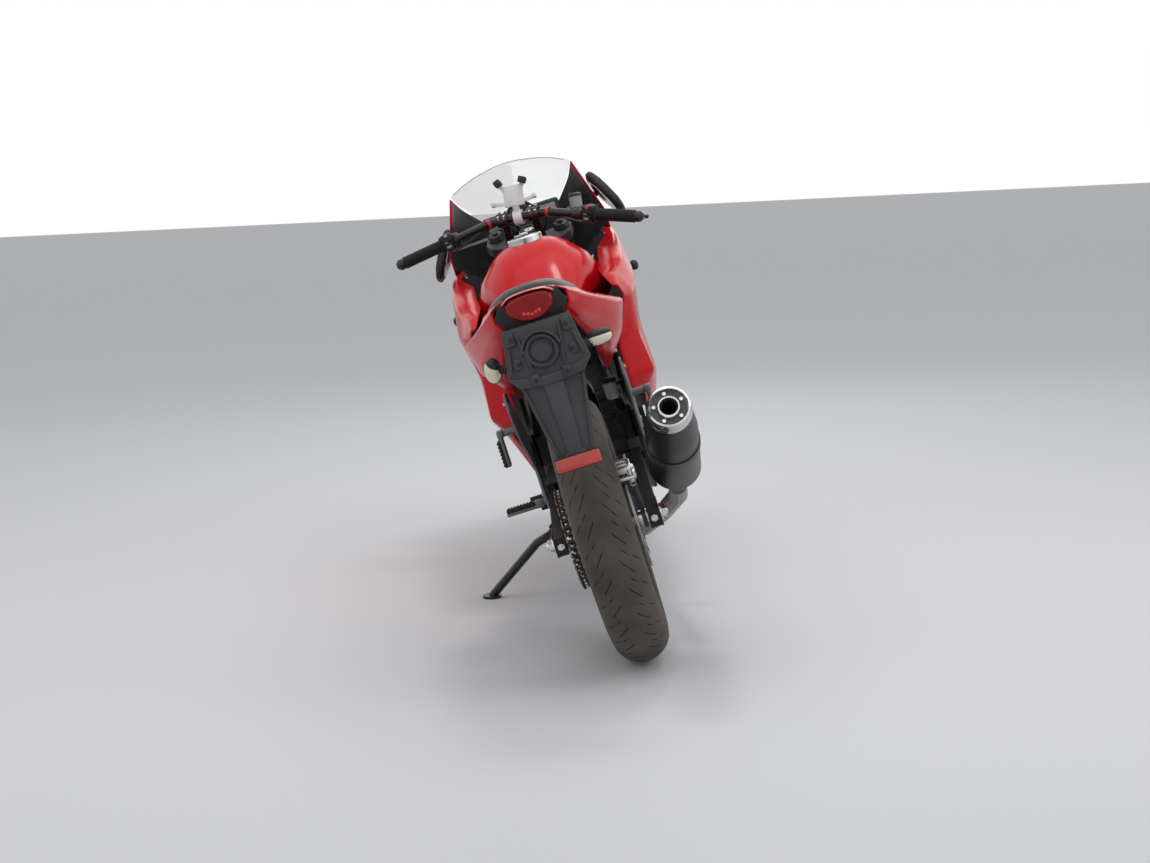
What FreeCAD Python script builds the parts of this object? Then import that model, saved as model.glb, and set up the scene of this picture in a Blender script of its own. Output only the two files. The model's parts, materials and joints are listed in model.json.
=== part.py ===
import FreeCAD, Part
import math
import os

# A faired 250 cc class road motorcycle, parked on its side stand with its bars turned a little.
# Everything is drawn on an upright bike, in millimetres: x to its right, y forward from the rear
# axle, z up from the ground. The last section steers, leans and sets it down on tyres and stand.

# Driving dimensions
swingarm_length = 527.0
pivot_to_front_axle = 874.5
pivot_height = 350.0
rake = math.radians(26.0)
axle_offset = 54.7
yoke_offset = 36.0
steering_rest = -13.0
lean = math.radians(15.07)
wall = 3.5
running_gap = 0.06
soft_gap = 0.3

rim_radius = 223.0
rear_tyre_height = 84.0
front_tyre_height = 70.0
rear_tyre_radius = rim_radius + rear_tyre_height
rear_tyre_width = 130.0
front_tyre_radius = rim_radius + front_tyre_height
front_tyre_width = 110.0
tyre_wall = 9.0
rim_wall = 5.0
rim_lip = 9.0
axle_radius = 8.5
axle_bore = 4.0
hub_radius = 34.0
spoke_pairs = 5
wheel_facets = 56

rear_disc_radius = 110.0
rear_disc_x = 70.0
front_disc_radius = 145.0
front_disc_x = -58.0
disc_thickness = 4.5

chain_pitch = 15.875
chain_links = 106
chain_x = -80.0
roller_radius = 5.08
plate_height = 13.0
inner_link = 12.4
outer_link = 16.8
rear_teeth = 43
front_teeth = 14

seat_height = 790.0
tank_crown = 943.0
lamp_y = -310.0
silencer_radius = 58.0
silencer_length = 435.0
silencer_wall = 3.0
cap_radius_outside = 48.5
leg_spread = 93.0
tube_radius = 18.5
slider_radius = 24.0
top_yoke_height = 915.0
low_yoke_height = 745.0
yoke_thickness = 26.0
bar_radius = 11.1
grip_radius = 17.0
grip_length = 115.0
lever_droop = 0.3
bar_rise = 94.0
bar_half_width = 328.0
frame_radius = 19.0
rail_radius = 12.5
head_radius = 27.0
stem_radius = 15.0
stem_bore = 9.0
stem_bore_depth = 73.0
screen_wall = 3.0
disc_gap = 3.0

# Points that several pieces share
wheelbase = swingarm_length + pivot_to_front_axle - 1.5
pivot_y = math.sqrt(swingarm_length**2 - (pivot_height - rear_tyre_radius)**2)
V = FreeCAD.Vector
rear_hub = V(0, 0, rear_tyre_radius)
front_hub = V(0, wheelbase, front_tyre_radius)
pivot = V(0, pivot_y, pivot_height)
up_axis = V(0, -math.sin(rake), math.cos(rake))
ahead_axis = V(0, math.cos(rake), math.sin(rake))
steer_foot = front_hub - ahead_axis * axle_offset
X = V(1, 0, 0)
Y = V(0, 1, 0)
Z = V(0, 0, 1)


# Shapes used all over the bike
def union(shapes):
    whole = shapes[0].multiFuse(shapes[1:]) if len(shapes) > 1 else shapes[0]
    return whole.removeSplitter()


def together(shapes):
    return Part.makeCompound(shapes)


def mirrored(shape):
    return shape.mirror(V(0, 0, 0), X)


def both_sides(shape):
    return together([shape, mirrored(shape)])


def block(x0, x1, y0, y1, z0, z1):
    return Part.makeBox(x1 - x0, y1 - y0, z1 - z0, V(x0, y0, z0))


def rod(start, end, radius):
    run = end - start
    return Part.makeCylinder(radius, run.Length, start, run)


def cone(start, end, radius_start, radius_end):
    run = end - start
    return Part.makeCone(radius_start, radius_end, run.Length, start, run)


def tube(start, end, radius, bore):
    run = end - start
    start_past = start - run * (1.0 / run.Length)
    end_past = end + run * (1.0 / run.Length)
    return rod(start, end, radius).cut(rod(start_past, end_past, bore))


def wire(points):
    return Part.makePolygon(points + [points[0]])


def flat_faces(a, b, c, d):
    """The quad a, b, c, d as one flat face, or as two triangles along its shorter diagonal."""
    if (b - a).Length < 1e-6 or (c - d).Length < 1e-6:
        corners = (a, c, d) if (b - a).Length < 1e-6 else (a, b, c)
        return [Part.Face(wire(list(corners)))]
    normal = (c - a).cross(d - b)
    if abs((b - a).dot(normal)) < 1e-5 * normal.Length:
        return [Part.Face(wire([a, b, c, d]))]
    if (c - a).Length <= (d - b).Length + 1e-6:
        return [Part.Face(wire([a, b, c])), Part.Face(wire([a, c, d]))]
    return [Part.Face(wire([a, b, d])), Part.Face(wire([b, c, d]))]


def loft(rings):
    """A solid through flat rings of equal count, its sides in flat faces."""
    faces = [Part.Face(wire(rings[0])), Part.Face(wire(rings[-1]))]
    for ring, following in zip(rings, rings[1:]):
        for i in range(len(ring)):
            j = (i + 1) % len(ring)
            faces += flat_faces(ring[i], ring[j], following[j], following[i])
    shell = Part.makeShell(faces)
    shell.sewShape()
    body = Part.makeSolid(shell)
    if body.Volume < 0:
        body.reverse()
    return body


def polygon_at(centre, direction, radius, sides):
    turn = FreeCAD.Rotation(Z, direction)
    angles = [2 * math.pi * (i + 0.5) / sides for i in range(sides)]
    return [centre + turn.multVec(V(radius * math.cos(a), radius * math.sin(a), 0)) for a in angles]


def prism(points, direction):
    return Part.Face(wire(points)).extrude(direction)


def side_plate(outline, x0, x1):
    """A plate whose outline is given in (y, z), from x0 to x1."""
    return prism([V(x0, y, z) for y, z in outline], V(x1 - x0, 0, 0))


def bent_rod(points, radius, bend=0.0, sides=8):
    """A bar along the points; a bend cuts each corner back into two mitred turns."""
    route = [points[0]]
    for before, corner, after in zip(points, points[1:], points[2:]):
        if bend:
            route.append(corner + (before - corner).normalize() * bend)
            route.append(corner + (after - corner).normalize() * bend)
        else:
            route.append(corner)
    route.append(points[-1])
    start = wire(polygon_at(route[0], route[1] - route[0], radius, sides))
    return Part.makePolygon(route).makePipeShell([start], True, False, 1)


def faceted(start, end, radius, sides=8):
    """A straight bar with flat sides, for stays, nuts and spacers."""
    return prism(polygon_at(start, end - start, radius, sides), end - start)


def turned_bar(start, end, profile, sides=12):
    """A turned shape between two points, in flat faces; profile rows are share of the run, radius."""
    run = end - start
    rings = []
    for share, radius in profile:
        if rings and share <= last_share:
            share = last_share + 0.002
        rings.append(polygon_at(start + run * share, run, radius, sides))
        last_share = share
    return loft(rings)


def section(half, y):
    """A closed ring at one y from its right half, listed from the crown to the keel at x = 0."""
    right = [V(x, y, z) for x, z in half]
    left = [V(-x, y, z) for x, z in half[1:-1]]
    return right + left[::-1]


def inset(outline, depth):
    """The open (x, z) outline moved to its right-hand side by the depth."""
    moved = []
    last = len(outline) - 1
    for i, (x, z) in enumerate(outline):
        ax, az = outline[max(i - 1, 0)]
        bx, bz = outline[min(i + 1, last)]
        length = math.hypot(bx - ax, bz - az)
        nx, nz = (bz - az) / length, -(bx - ax) / length
        mitre = 1.0
        if 0 < i < last:
            run = math.hypot(x - ax, z - az)
            mitre = 1 / max(0.6, ((x - ax) * -nz + (z - az) * nx) / run)
        moved.append((x + nx * depth * mitre, z + nz * depth * mitre))
    return moved


def skin(rows, depth):
    """A panel of even wall through open (x, z) outlines at several y, each from top to bottom."""
    rings = []
    for y, outline in rows:
        ring = outline + inset(outline, depth)[::-1]
        rings.append([V(x, y, z) for x, z in ring])
    return loft(rings)


def on_fork(x, along, ahead):
    """A point by its place on the steering axis and its offsets from it."""
    return steer_foot + up_axis * along + ahead_axis * ahead + X * x


def up_fork(height):
    """How far along the steering axis a height above the ground lies."""
    return (height - steer_foot.z) / math.cos(rake)


def hex_bar(start, end, radius):
    return faceted(start, end, radius, 6)


def reach_to(target, start, heading, radius, gap):
    """Where a bar of this radius stops, a gap short of the target ahead of it."""
    turn = FreeCAD.Rotation(Z, heading)
    far = heading.normalize() * 400
    nearest = 400.0
    for i in range(8):
        a = math.pi / 4 * i
        rim = start + turn.multVec(V(radius * math.cos(a), radius * math.sin(a), 0))
        hit = target.common(Part.makeLine(rim, rim + far))
        for vertex in hit.Vertexes:
            nearest = min(nearest, (vertex.Point - rim).Length)
    return start + heading.normalize() * (nearest - gap)


# Wheels: hollow tyre, cast rim with paired spokes, hub, brake disc
def revolve_x(outline, centre):
    """A ring about the x axis in flat faces, from a closed outline of (x, radius)."""
    rings = []
    for i in range(wheel_facets):
        angle = 2 * math.pi * i / wheel_facets
        rings.append([centre + V(x, r * math.cos(angle), r * math.sin(angle)) for x, r in outline])
    faces = []
    for ring, following in zip(rings, rings[1:] + rings[:1]):
        for i in range(len(ring)):
            j = (i + 1) % len(ring)
            faces += flat_faces(ring[i], ring[j], following[j], following[i])
    shell = Part.makeShell(faces)
    shell.sewShape()
    body = Part.makeSolid(shell)
    if body.Volume < 0:
        body.reverse()
    return body


def make_tyre(centre, radius, width):
    """A hollow tyre: round crown down to its shoulders, sidewalls, beads, thinner inside."""
    crown = width / 2
    bead = width * 0.36
    outside = []
    for degrees in (66, 42, 16, 0, -16, -42, -66):
        a = math.radians(degrees)
        outside.append((crown * math.sin(a), radius - crown * (1 - math.cos(a))))
    shoulder = outside[0][1]
    waist = (shoulder + rim_radius) / 2
    inner = crown - tyre_wall
    under = radius - tyre_wall - 11
    inside = [(-bead + tyre_wall, rim_radius), (-inner * 0.96, waist), (-inner * 0.5, under),
              (inner * 0.5, under), (inner * 0.96, waist), (bead - tyre_wall, rim_radius)]
    lip_top = rim_radius + rim_lip + 1
    outline = [(bead, rim_radius), (bead, lip_top), (crown * 0.98, waist)] + outside
    outline += [(-crown * 0.98, waist), (-bead, lip_top), (-bead, rim_radius)] + inside
    return revolve_x(outline, centre)


def make_rim(centre, width, hub_half):
    bead = width * 0.36
    lip = bead + 6
    deep = rim_radius - 22
    barrel = revolve_x(
        [(-lip, rim_radius + rim_lip), (-lip, rim_radius - 7), (-bead * 0.55, deep), (bead * 0.55, deep),
         (lip, rim_radius - 7), (lip, rim_radius + rim_lip), (bead + 0.3, rim_radius + rim_lip),
         (bead + 0.3, rim_radius - 0.3), (bead * 0.5, deep + rim_wall), (-bead * 0.5, deep + rim_wall),
         (-bead - 0.3, rim_radius - 0.3), (-bead - 0.3, rim_radius + rim_lip)],
        centre,
    )
    pieces = [barrel, rod(centre - X * hub_half, centre + X * hub_half, hub_radius)]
    r_in = hub_radius - 6
    r_out = rim_radius - 19
    for i in range(spoke_pairs):
        for side in (-1, 1):
            start = math.radians(360 / spoke_pairs * i + side * 10)
            end = math.radians(360 / spoke_pairs * i + side * 14)
            rings = []
            for angle, r, half_x, half_t in ((start, r_in, 19, 9), (end, r_out, 13, 6)):
                radial = V(0, math.sin(angle), math.cos(angle))
                across = V(0, math.cos(angle), -math.sin(angle))
                middle = centre + radial * r
                corners = ((-half_x, -half_t), (half_x, -half_t), (half_x, half_t), (-half_x, half_t))
                rings.append([middle + X * x + across * t for x, t in corners])
            pieces.append(loft(rings))
    bore = rod(centre - X * 200, centre + X * 200, axle_radius + running_gap)
    return union(pieces).cut(bore)


def make_disc(centre, x, radius, inner, hub_face):
    """A petal disc with its carrier, which reaches the hub's end face."""
    low = x - disc_thickness / 2
    petals = 10
    rim = []
    for i in range(petals):
        for share, depth in ((0.0, 5), (0.18, 0), (0.4, 0), (0.62, 0), (0.8, 5)):
            angle = 2 * math.pi * (i + share) / petals
            rim.append(centre + V(low, (radius - depth) * math.sin(angle), (radius - depth) * math.cos(angle)))
    plate = prism(rim, X * disc_thickness)
    plate = plate.cut(Part.makeCylinder(inner, disc_thickness + 2, centre + X * (low - 1), X))
    carrier = faceted(centre + X * x, centre + X * hub_face, hub_radius + 4, 12)
    arms = [plate, carrier]
    for i in range(5):
        angle = 72 * i
        arm = block(low, low + disc_thickness, -9, 9, hub_radius - 8, inner + 4)
        arm.rotate(V(0, 0, 0), X, angle)
        arms.append(arm.translated(centre))
    bore = rod(centre - X * 200, centre + X * 200, axle_radius + running_gap)
    return union(arms).cut(bore)


rear_hub_half = 52.0
spacer_radius = 14.0
front_hub_half = 46.0
rear_tyre = make_tyre(rear_hub, rear_tyre_radius, rear_tyre_width)
front_tyre = make_tyre(front_hub, front_tyre_radius, front_tyre_width)
rear_rim = make_rim(rear_hub, rear_tyre_width, rear_hub_half)
front_rim = make_rim(front_hub, front_tyre_width, front_hub_half)
rear_disc = make_disc(rear_hub, rear_disc_x, rear_disc_radius, 78.0, rear_hub_half)
front_disc = make_disc(front_hub, front_disc_x, front_disc_radius, 106.0, -front_hub_half)

# Final drive: the chain's pitch line round both sprockets, its plates and rollers
rear_pitch = chain_pitch / (2 * math.sin(math.pi / rear_teeth))
front_pitch = chain_pitch / (2 * math.sin(math.pi / front_teeth))


def chain_length(distance):
    slope = math.asin((rear_pitch - front_pitch) / distance)
    straight = 2 * distance * math.cos(slope)
    return straight + rear_pitch * (math.pi + 2 * slope) + front_pitch * (math.pi - 2 * slope)


low_distance, high_distance = 300.0, 800.0
for _ in range(50):
    middle_distance = (low_distance + high_distance) / 2
    if chain_length(middle_distance) < chain_pitch * chain_links:
        low_distance = middle_distance
    else:
        high_distance = middle_distance
sprocket_distance = low_distance
sprocket_height = pivot_height - 4
sprocket_rise = sprocket_height - rear_tyre_radius
front_sprocket = V(0, math.sqrt(sprocket_distance**2 - sprocket_rise**2), sprocket_height)
chain_tilt = math.atan2(sprocket_rise, front_sprocket.y)
chain_slope = math.asin((rear_pitch - front_pitch) / sprocket_distance)


def chain_point(distance):
    """A point and its heading on the pitch line, from the top of the rear sprocket forward."""
    straight = sprocket_distance * math.cos(chain_slope)
    front_arc = front_pitch * (math.pi - 2 * chain_slope)
    rear_arc = rear_pitch * (math.pi + 2 * chain_slope)
    distance %= 2 * straight + front_arc + rear_arc
    top = math.pi / 2 - chain_slope
    if distance < straight:
        angle = top
        y = rear_pitch * math.cos(angle) + distance * math.cos(chain_slope)
        z = rear_pitch * math.sin(angle) - distance * math.sin(chain_slope)
        heading = -chain_slope
    elif distance < straight + front_arc:
        angle = top - (distance - straight) / front_pitch
        y = sprocket_distance + front_pitch * math.cos(angle)
        z = front_pitch * math.sin(angle)
        heading = angle - math.pi / 2
    elif distance < 2 * straight + front_arc:
        back = distance - straight - front_arc
        y = sprocket_distance + front_pitch * math.cos(-top) - back * math.cos(chain_slope)
        z = front_pitch * math.sin(-top) - back * math.sin(chain_slope)
        heading = math.pi + chain_slope
    else:
        angle = -top - (distance - 2 * straight - front_arc) / rear_pitch
        y = rear_pitch * math.cos(angle)
        z = rear_pitch * math.sin(angle)
        heading = angle - math.pi / 2
    c, s = math.cos(chain_tilt), math.sin(chain_tilt)
    return V(chain_x, y * c - z * s, y * s + z * c) + rear_hub, heading + chain_tilt


def make_chain():
    """Links in turn wide and narrow, each mitred to the next on the pitch line."""
    joints = [chain_point(i * chain_pitch)[0] for i in range(chain_links)]
    rims = []
    for i, joint in enumerate(joints):
        before, after = joints[i - 1], joints[(i + 1) % chain_links]
        run = (after - before).normalize()
        rims.append((joint + V(0, -run.z, run.y) * (plate_height / 2), joint - V(0, -run.z, run.y) * (plate_height / 2)))
    pieces = []
    for i in range(chain_links):
        (top, bottom), (next_top, next_bottom) = rims[i], rims[(i + 1) % chain_links]
        half_width = inner_link / 2 if i % 2 else outer_link / 2
        outline = [p - X * half_width for p in (top, next_top, next_bottom, bottom)]
        pieces.append(prism(outline, X * half_width * 2))
    return union(pieces)


def make_sprocket():
    tip = rear_pitch - plate_height / 2 - 1
    root = tip - 5
    outline = []
    for i in range(rear_teeth):
        for share, radius in ((0.0, root), (0.5, tip)):
            angle = 2 * math.pi * (i + share) / rear_teeth
            outline.append(V(chain_x - 3, radius * math.sin(angle), radius * math.cos(angle)))
    plate = prism(outline, X * 6)
    ring = Part.makeCylinder(root - 14, 8, V(chain_x - 4, 0, 0), X)
    plate = plate.cut(ring)
    pieces = [plate, Part.makeCylinder(58, 6, V(chain_x - 3, 0, 0), X)]
    for i in range(6):
        arm = block(chain_x - 3, chain_x + 3, -8, 8, 50, root - 10)
        arm.rotate(V(0, 0, 0), X, 60 * i)
        pieces.append(arm)
    pieces.append(cone(V(chain_x + 3, 0, 0), V(-rear_hub_half, 0, 0), 50, 42))
    bore = rod(V(-200, 0, 0), V(200, 0, 0), axle_radius + running_gap)
    return union(pieces).cut(bore).translated(rear_hub)


chain = make_chain()
rear_sprocket = make_sprocket()

# Swingarm with axle adjusters, axle, shock, hugger, chain guard, rear brake
arm_inner = 95.0
arm_outer = 121.0
spool_y = 44.0
spool_radius = 3.4
spool_depth = 20.0


shock_low = V(0, pivot_y - 112, pivot_height + 62)
shock_high = V(0, pivot_y - 95, pivot_height + 290)
shock_pin = 8.0
shock_eye = 15.0
shock_eye_half = 15.0


def arm_line(y):
    """Height of the line from the rear axle to the pivot."""
    return rear_tyre_radius + (pivot_height - rear_tyre_radius) * y / pivot_y


def make_swingarm():
    pieces = []
    for side in (-1, 1):
        x0, x1 = sorted((side * arm_inner, side * arm_outer))
        outline = [
            (pivot_y + 26, pivot_height + 22),
            (pivot_y - 60, pivot_height + 34),
            (60, rear_tyre_radius + 27),
            (-52, rear_tyre_radius + 22),
            (-52, rear_tyre_radius - 20),
            (60, rear_tyre_radius - 25),
            (pivot_y - 60, pivot_height - 34),
            (pivot_y + 26, pivot_height - 24),
        ]
        pieces.append(side_plate(outline, x0, x1))
    pieces.append(faceted(pivot - X * arm_outer, pivot + X * arm_outer, 24, 12))
    cross = []
    for y, rise in ((pivot_y - 150, -24), (pivot_y - 150, 32), (pivot_y - 70, 35), (pivot_y - 70, -24)):
        cross.append((y, arm_line(y) + rise))
    pieces.append(side_plate(cross, -arm_outer, arm_outer))
    for side in (-1, 1):
        x0, x1 = sorted((side * (shock_eye_half + soft_gap), side * (shock_eye_half + 7)))
        ear = [(shock_low.y - 16, pivot_height + 12), (shock_low.y - 12, shock_low.z + 12),
               (shock_low.y + 12, shock_low.z + 12), (shock_low.y + 18, pivot_height + 12)]
        pieces.append(side_plate(ear, x0, x1))
    pieces.append(rod(shock_low - X * 24, shock_low + X * 24, shock_pin))
    arm = union(pieces)
    slot_end = 22
    for side in (-1, 1):
        x0, x1 = sorted((side * (arm_inner - 2), side * (arm_outer + 2)))
        slot = block(x0, x1, -slot_end, slot_end, rear_tyre_radius - axle_radius, rear_tyre_radius + axle_radius)
        arm = arm.cut(slot)
    for side in (-1, 1):
        mouth = V(side * arm_outer, spool_y, rear_tyre_radius - 2)
        arm = arm.cut(rod(mouth - X * side * spool_depth, mouth + X * side * 5, spool_radius))
    bore = rod(pivot - X * 150, pivot + X * 150, 9)
    return arm.cut(bore)


swingarm = make_swingarm()


def make_rear_axle():
    spindle = rod(rear_hub - X * (arm_outer + 3), rear_hub + X * (arm_outer + 3), axle_radius)
    pieces = [spindle]
    for side in (-1, 1):
        x0, x1 = sorted((side * arm_outer, side * (arm_outer + 7)))
        pieces.append(block(x0 + 0.0, x1, -28, 28, rear_tyre_radius - 17, rear_tyre_radius + 17))
        face = rear_hub + X * side * (arm_outer + 7)
        pieces.append(prism([face + V(0, 14 * math.cos(a), 14 * math.sin(a))
                             for a in [math.pi / 3 * i for i in range(6)]], X * side * 14))
    pieces.append(faceted(rear_hub + X * (rear_disc_x + disc_thickness / 2 + soft_gap), rear_hub + X * arm_inner, spacer_radius))
    pieces.append(faceted(rear_hub + X * (chain_x - 3 - soft_gap), rear_hub - X * arm_inner, spacer_radius))
    return union(pieces)


rear_axle = make_rear_axle()


def make_shock():
    run = shock_high - shock_low
    eye_half = X * shock_eye_half
    pieces = [rod(shock_low - eye_half, shock_low + eye_half, shock_eye)]
    pieces.append(rod(shock_high - eye_half, shock_high + eye_half, shock_eye))
    turns = 5
    bottom, top = 30 / run.Length, 178 / run.Length
    profile = [(0.03, 11), (bottom, 11), (bottom, 35)]
    for i in range(turns):
        profile += [(bottom + (top - bottom) * (i + 0.5) / turns, 25), (bottom + (top - bottom) * (i + 1) / turns, 35)]
    profile += [(top, 22), (0.9, 22), (0.9, 13), (0.97, 13)]
    pieces.append(turned_bar(shock_low, shock_high, profile))
    whole = union(pieces)
    for centre in (shock_low, shock_high):
        whole = whole.cut(rod(centre - X * 60, centre + X * 60, shock_pin + running_gap))
    return whole


rear_shock = make_shock()
hugger_radius = rear_tyre_radius + 24


def make_hugger():
    """The moulded inner mudguard: an arc round the front and top of the rear tyre."""
    rows = []
    for degrees in (4, 27, 50, 73, 96):
        a = math.radians(degrees)
        radial = V(0, math.cos(a), math.sin(a))
        ring = []
        for x, r in ((-66, -36), (-60, 2), (0, 14), (60, 2), (66, -36), (63, -36), (57, -1), (0, 11), (-57, -1), (-63, -36)):
            ring.append(rear_hub + radial * (hugger_radius + r) + X * x)
        rows.append(ring)
    pieces = [loft(rows)]
    tab_angle = math.radians(8.2)
    tab = rear_hub + V(0, math.cos(tab_angle), math.sin(tab_angle)) * (hugger_radius - 17)
    for side in (-1, 1):
        x0, x1 = sorted((side * 60.5, side * (arm_inner - soft_gap)))
        pieces.append(block(x0, x1, tab.y - 5, tab.y + 11, tab.z - 6, tab.z + 6))
    return union(pieces)


inner_fender = make_hugger()


def arm_top(y):
    """Height of the swingarm's upper face behind its pivot."""
    share = (y - 60) / (pivot_y - 120)
    return rear_tyre_radius + 27 + share * (pivot_height + 34 - rear_tyre_radius - 27)


def make_chain_guard():
    rows = []
    for distance, rise in ((20, 18), (400, 16)):
        point, heading = chain_point(distance)
        y, z = point.y, point.z + rise
        rows.append([V(chain_x - 24, y, z - 20), V(chain_x - 24, y, z + 6), V(chain_x + 10, y, z + 6),
                     V(chain_x + 10, y, z + 3), V(chain_x - 21, y, z + 3), V(chain_x - 21, y, z - 20)])
    pieces = [loft(rows)]
    for distance in (110, 330):
        point, heading = chain_point(distance)
        y0, y1 = point.y - 8, point.y + 8
        tab = [(y0, point.z), (y1, point.z), (y1, arm_top(y1) + soft_gap), (y0, arm_top(y0) + soft_gap)]
        pieces.append(side_plate(tab, chain_x - 24, chain_x - 21))
    return union(pieces)


chain_guard = make_chain_guard()


def make_caliper(disc_x, side, length, depth, height):
    """Two halves joined over the disc's edge, open to it by the disc gap."""
    body = block(disc_x - depth, disc_x + depth, -length / 2, length / 2, -height / 2, height / 2)
    slot = disc_thickness / 2 + disc_gap
    body = body.cut(block(disc_x - slot, disc_x + slot, -length, length, -height, height / 2 - 12))
    for end in (-1, 1):
        y0, y1 = sorted((end * length / 2, end * (length / 2 + 12)))
        x0, x1 = sorted((disc_x + side * depth, disc_x + side * (depth - 12)))
        ear = block(x0, x1, y0, y1, -10, 8)
        body = body.fuse(ear)
    for end in (-1, 1):
        boss_y = end * length / 4
        boss_foot = V(disc_x + side * (depth - 1), boss_y, 0)
        boss = faceted(boss_foot, boss_foot + X * side * 8, height / 4, 12)
        body = body.fuse(boss)
    return body.removeSplitter()


rear_caliper_angle = -6.0
caliper_radius = rear_disc_radius - 8
rear_caliper = make_caliper(rear_disc_x, 1, 92, 24, 52)
rear_caliper = rear_caliper.translated(V(0, 0, caliper_radius + 6))
bracket_face = rear_disc_x + 12
bracket = [(-22, 0), (22, 0), (42, caliper_radius - 18), (-42, caliper_radius - 18)]
bracket = side_plate(bracket, bracket_face, bracket_face + 9)
bracket = bracket.fuse(Part.makeCylinder(26, 9, V(bracket_face, 0, 0), X))
axle_eye = Part.makeCylinder(spacer_radius + soft_gap, 60, V(bracket_face - 20, 0, 0), X)
rear_caliper = union([rear_caliper, bracket]).cut(axle_eye)
rear_caliper.rotate(V(0, 0, 0), X, -rear_caliper_angle)
rear_caliper = rear_caliper.translated(rear_hub)

# Front end on the steering axis: yokes, fork legs, axle, fender, brake
along_top = up_fork(top_yoke_height)
along_low = up_fork(low_yoke_height)
leg_top = along_top + 16
slider_top = 330.0
head_low = along_low + yoke_thickness / 2 + 4
head_high = along_top - yoke_thickness / 2 - 4


def yoke(along):
    half = yoke_thickness / 2
    ring = [(-leg_spread - 26, 6), (-leg_spread - 8, -16), (-30, -34), (30, -34), (leg_spread + 8, -16),
            (leg_spread + 26, 6), (leg_spread + 26, yoke_offset + 14), (leg_spread + 8, yoke_offset + 28),
            (50, 26), (-50, 26), (-leg_spread - 8, yoke_offset + 28), (-leg_spread - 26, yoke_offset + 14)]
    return prism([on_fork(x, along - half, ahead) for x, ahead in ring], up_axis * yoke_thickness)


def make_yokes():
    pieces = [yoke(along_top), yoke(along_low)]
    pieces.append(rod(on_fork(0, along_low, 0), on_fork(0, along_top + 22, 0), stem_radius))
    whole = union(pieces)
    for side in (-1, 1):
        leg = rod(on_fork(side * leg_spread, along_low - 60, yoke_offset),
                  on_fork(side * leg_spread, leg_top + 40, yoke_offset), tube_radius)
        whole = whole.cut(leg)
    low_face = along_low - yoke_thickness / 2
    bore = rod(on_fork(0, low_face - 10, 0), on_fork(0, low_face + stem_bore_depth, 0), stem_bore)
    return whole.cut(bore)


yokes = make_yokes()
fork_tubes = both_sides(
    rod(on_fork(leg_spread, slider_top - 40, yoke_offset), on_fork(leg_spread, leg_top, yoke_offset), tube_radius)
)


def make_slider(side):
    bottom = on_fork(side * leg_spread, -24, yoke_offset)
    top = on_fork(side * leg_spread, slider_top, yoke_offset)
    body = rod(bottom, top, slider_radius)
    seal_foot = on_fork(side * leg_spread, slider_top - 26, yoke_offset)
    seal = rod(seal_foot, seal_foot + up_axis * 30, slider_radius + 3)
    inner = side * leg_spread - slider_radius
    lug = prism([on_fork(inner, -26, yoke_offset - 8), on_fork(inner, 34, yoke_offset - 8),
                 on_fork(inner, 22, axle_offset + 16), on_fork(inner, -20, axle_offset + 16)], X * slider_radius * 2)
    whole = union([body, seal, lug])
    axle_hole = rod(front_hub - X * 200, front_hub + X * 200, axle_radius)
    tube_foot = on_fork(side * leg_spread, slider_top - 40, yoke_offset)
    inside = rod(tube_foot, tube_foot + up_axis * 60, tube_radius)
    return whole.cut(axle_hole).cut(inside)


bracket_arms = (
    ((-138, 87), (-142, 65), (-55, 25), (-55, 59)),
    ((-160, -25), (-150, -41), (-48, -5), (-50, 13)),
)


def make_caliper_arms():
    """Two plates behind the left leg that end beside the caliper's ears."""
    face = front_disc_x - 20 - soft_gap
    arms = []
    for outline in bracket_arms:
        arms.append(side_plate([(front_hub.y + y, front_hub.z + z) for y, z in outline], face - 6, face))
    return arms


fork_sliders = together([union([make_slider(-1)] + make_caliper_arms()), make_slider(1)])


axle_left = leg_spread + slider_radius + 8
axle_right = leg_spread + slider_radius + 12


def make_front_axle():
    spindle = rod(front_hub - X * axle_left, front_hub + X * axle_right, axle_radius)
    pieces = [spindle]
    pieces.append(hex_bar(front_hub + X * (leg_spread + slider_radius), front_hub + X * axle_right, 13))
    pieces.append(hex_bar(front_hub - X * axle_left, front_hub - X * (leg_spread + slider_radius), 13))
    inside = leg_spread - slider_radius
    pieces.append(faceted(front_hub + X * (front_hub_half + soft_gap), front_hub + X * inside, spacer_radius))
    carrier_face = front_disc_x - disc_thickness / 2 - soft_gap
    pieces.append(faceted(front_hub + X * carrier_face, front_hub - X * inside, spacer_radius))
    return union(pieces).cut(rod(front_hub - X * 200, front_hub + X * 200, axle_bore))


front_axle = make_front_axle()


def make_front_fender():
    rows = []
    for degrees in (-2, 24, 50, 76, 102, 128, 152):
        a = math.radians(degrees)
        radial = V(0, math.cos(a), math.sin(a))
        drop = 30 if 40 < degrees < 130 else 18
        ring = []
        for x, r in ((-64, -drop), (-60, 0), (-34, 12), (0, 16), (34, 12), (60, 0), (64, -drop),
                     (61, -drop), (57, -1), (33, 9), (0, 13), (-33, 9), (-57, -1), (-61, -drop)):
            ring.append(front_hub + radial * (front_tyre_radius + 16 + r) + X * x)
        rows.append(ring)
    shell = loft(rows)
    pieces = [shell]
    for side in (-1, 1):
        outline = [on_fork(side * 60, 190, yoke_offset - 22), on_fork(side * 60, 300, yoke_offset - 26),
                   on_fork(side * 60, 300, yoke_offset + 26), on_fork(side * 60, 190, yoke_offset + 22)]
        pieces.append(prism(outline, X * side * (leg_spread - slider_radius - 60 - soft_gap)))
    return union(pieces)


front_fender = make_front_fender()
front_caliper = make_caliper(front_disc_x, -1, 92, 20, 50)
front_caliper_angle = 80.0
front_caliper = front_caliper.translated(V(0, 0, front_disc_radius - 4))
front_caliper.rotate(V(0, 0, 0), X, front_caliper_angle)
front_caliper = front_caliper.translated(front_hub)

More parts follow.
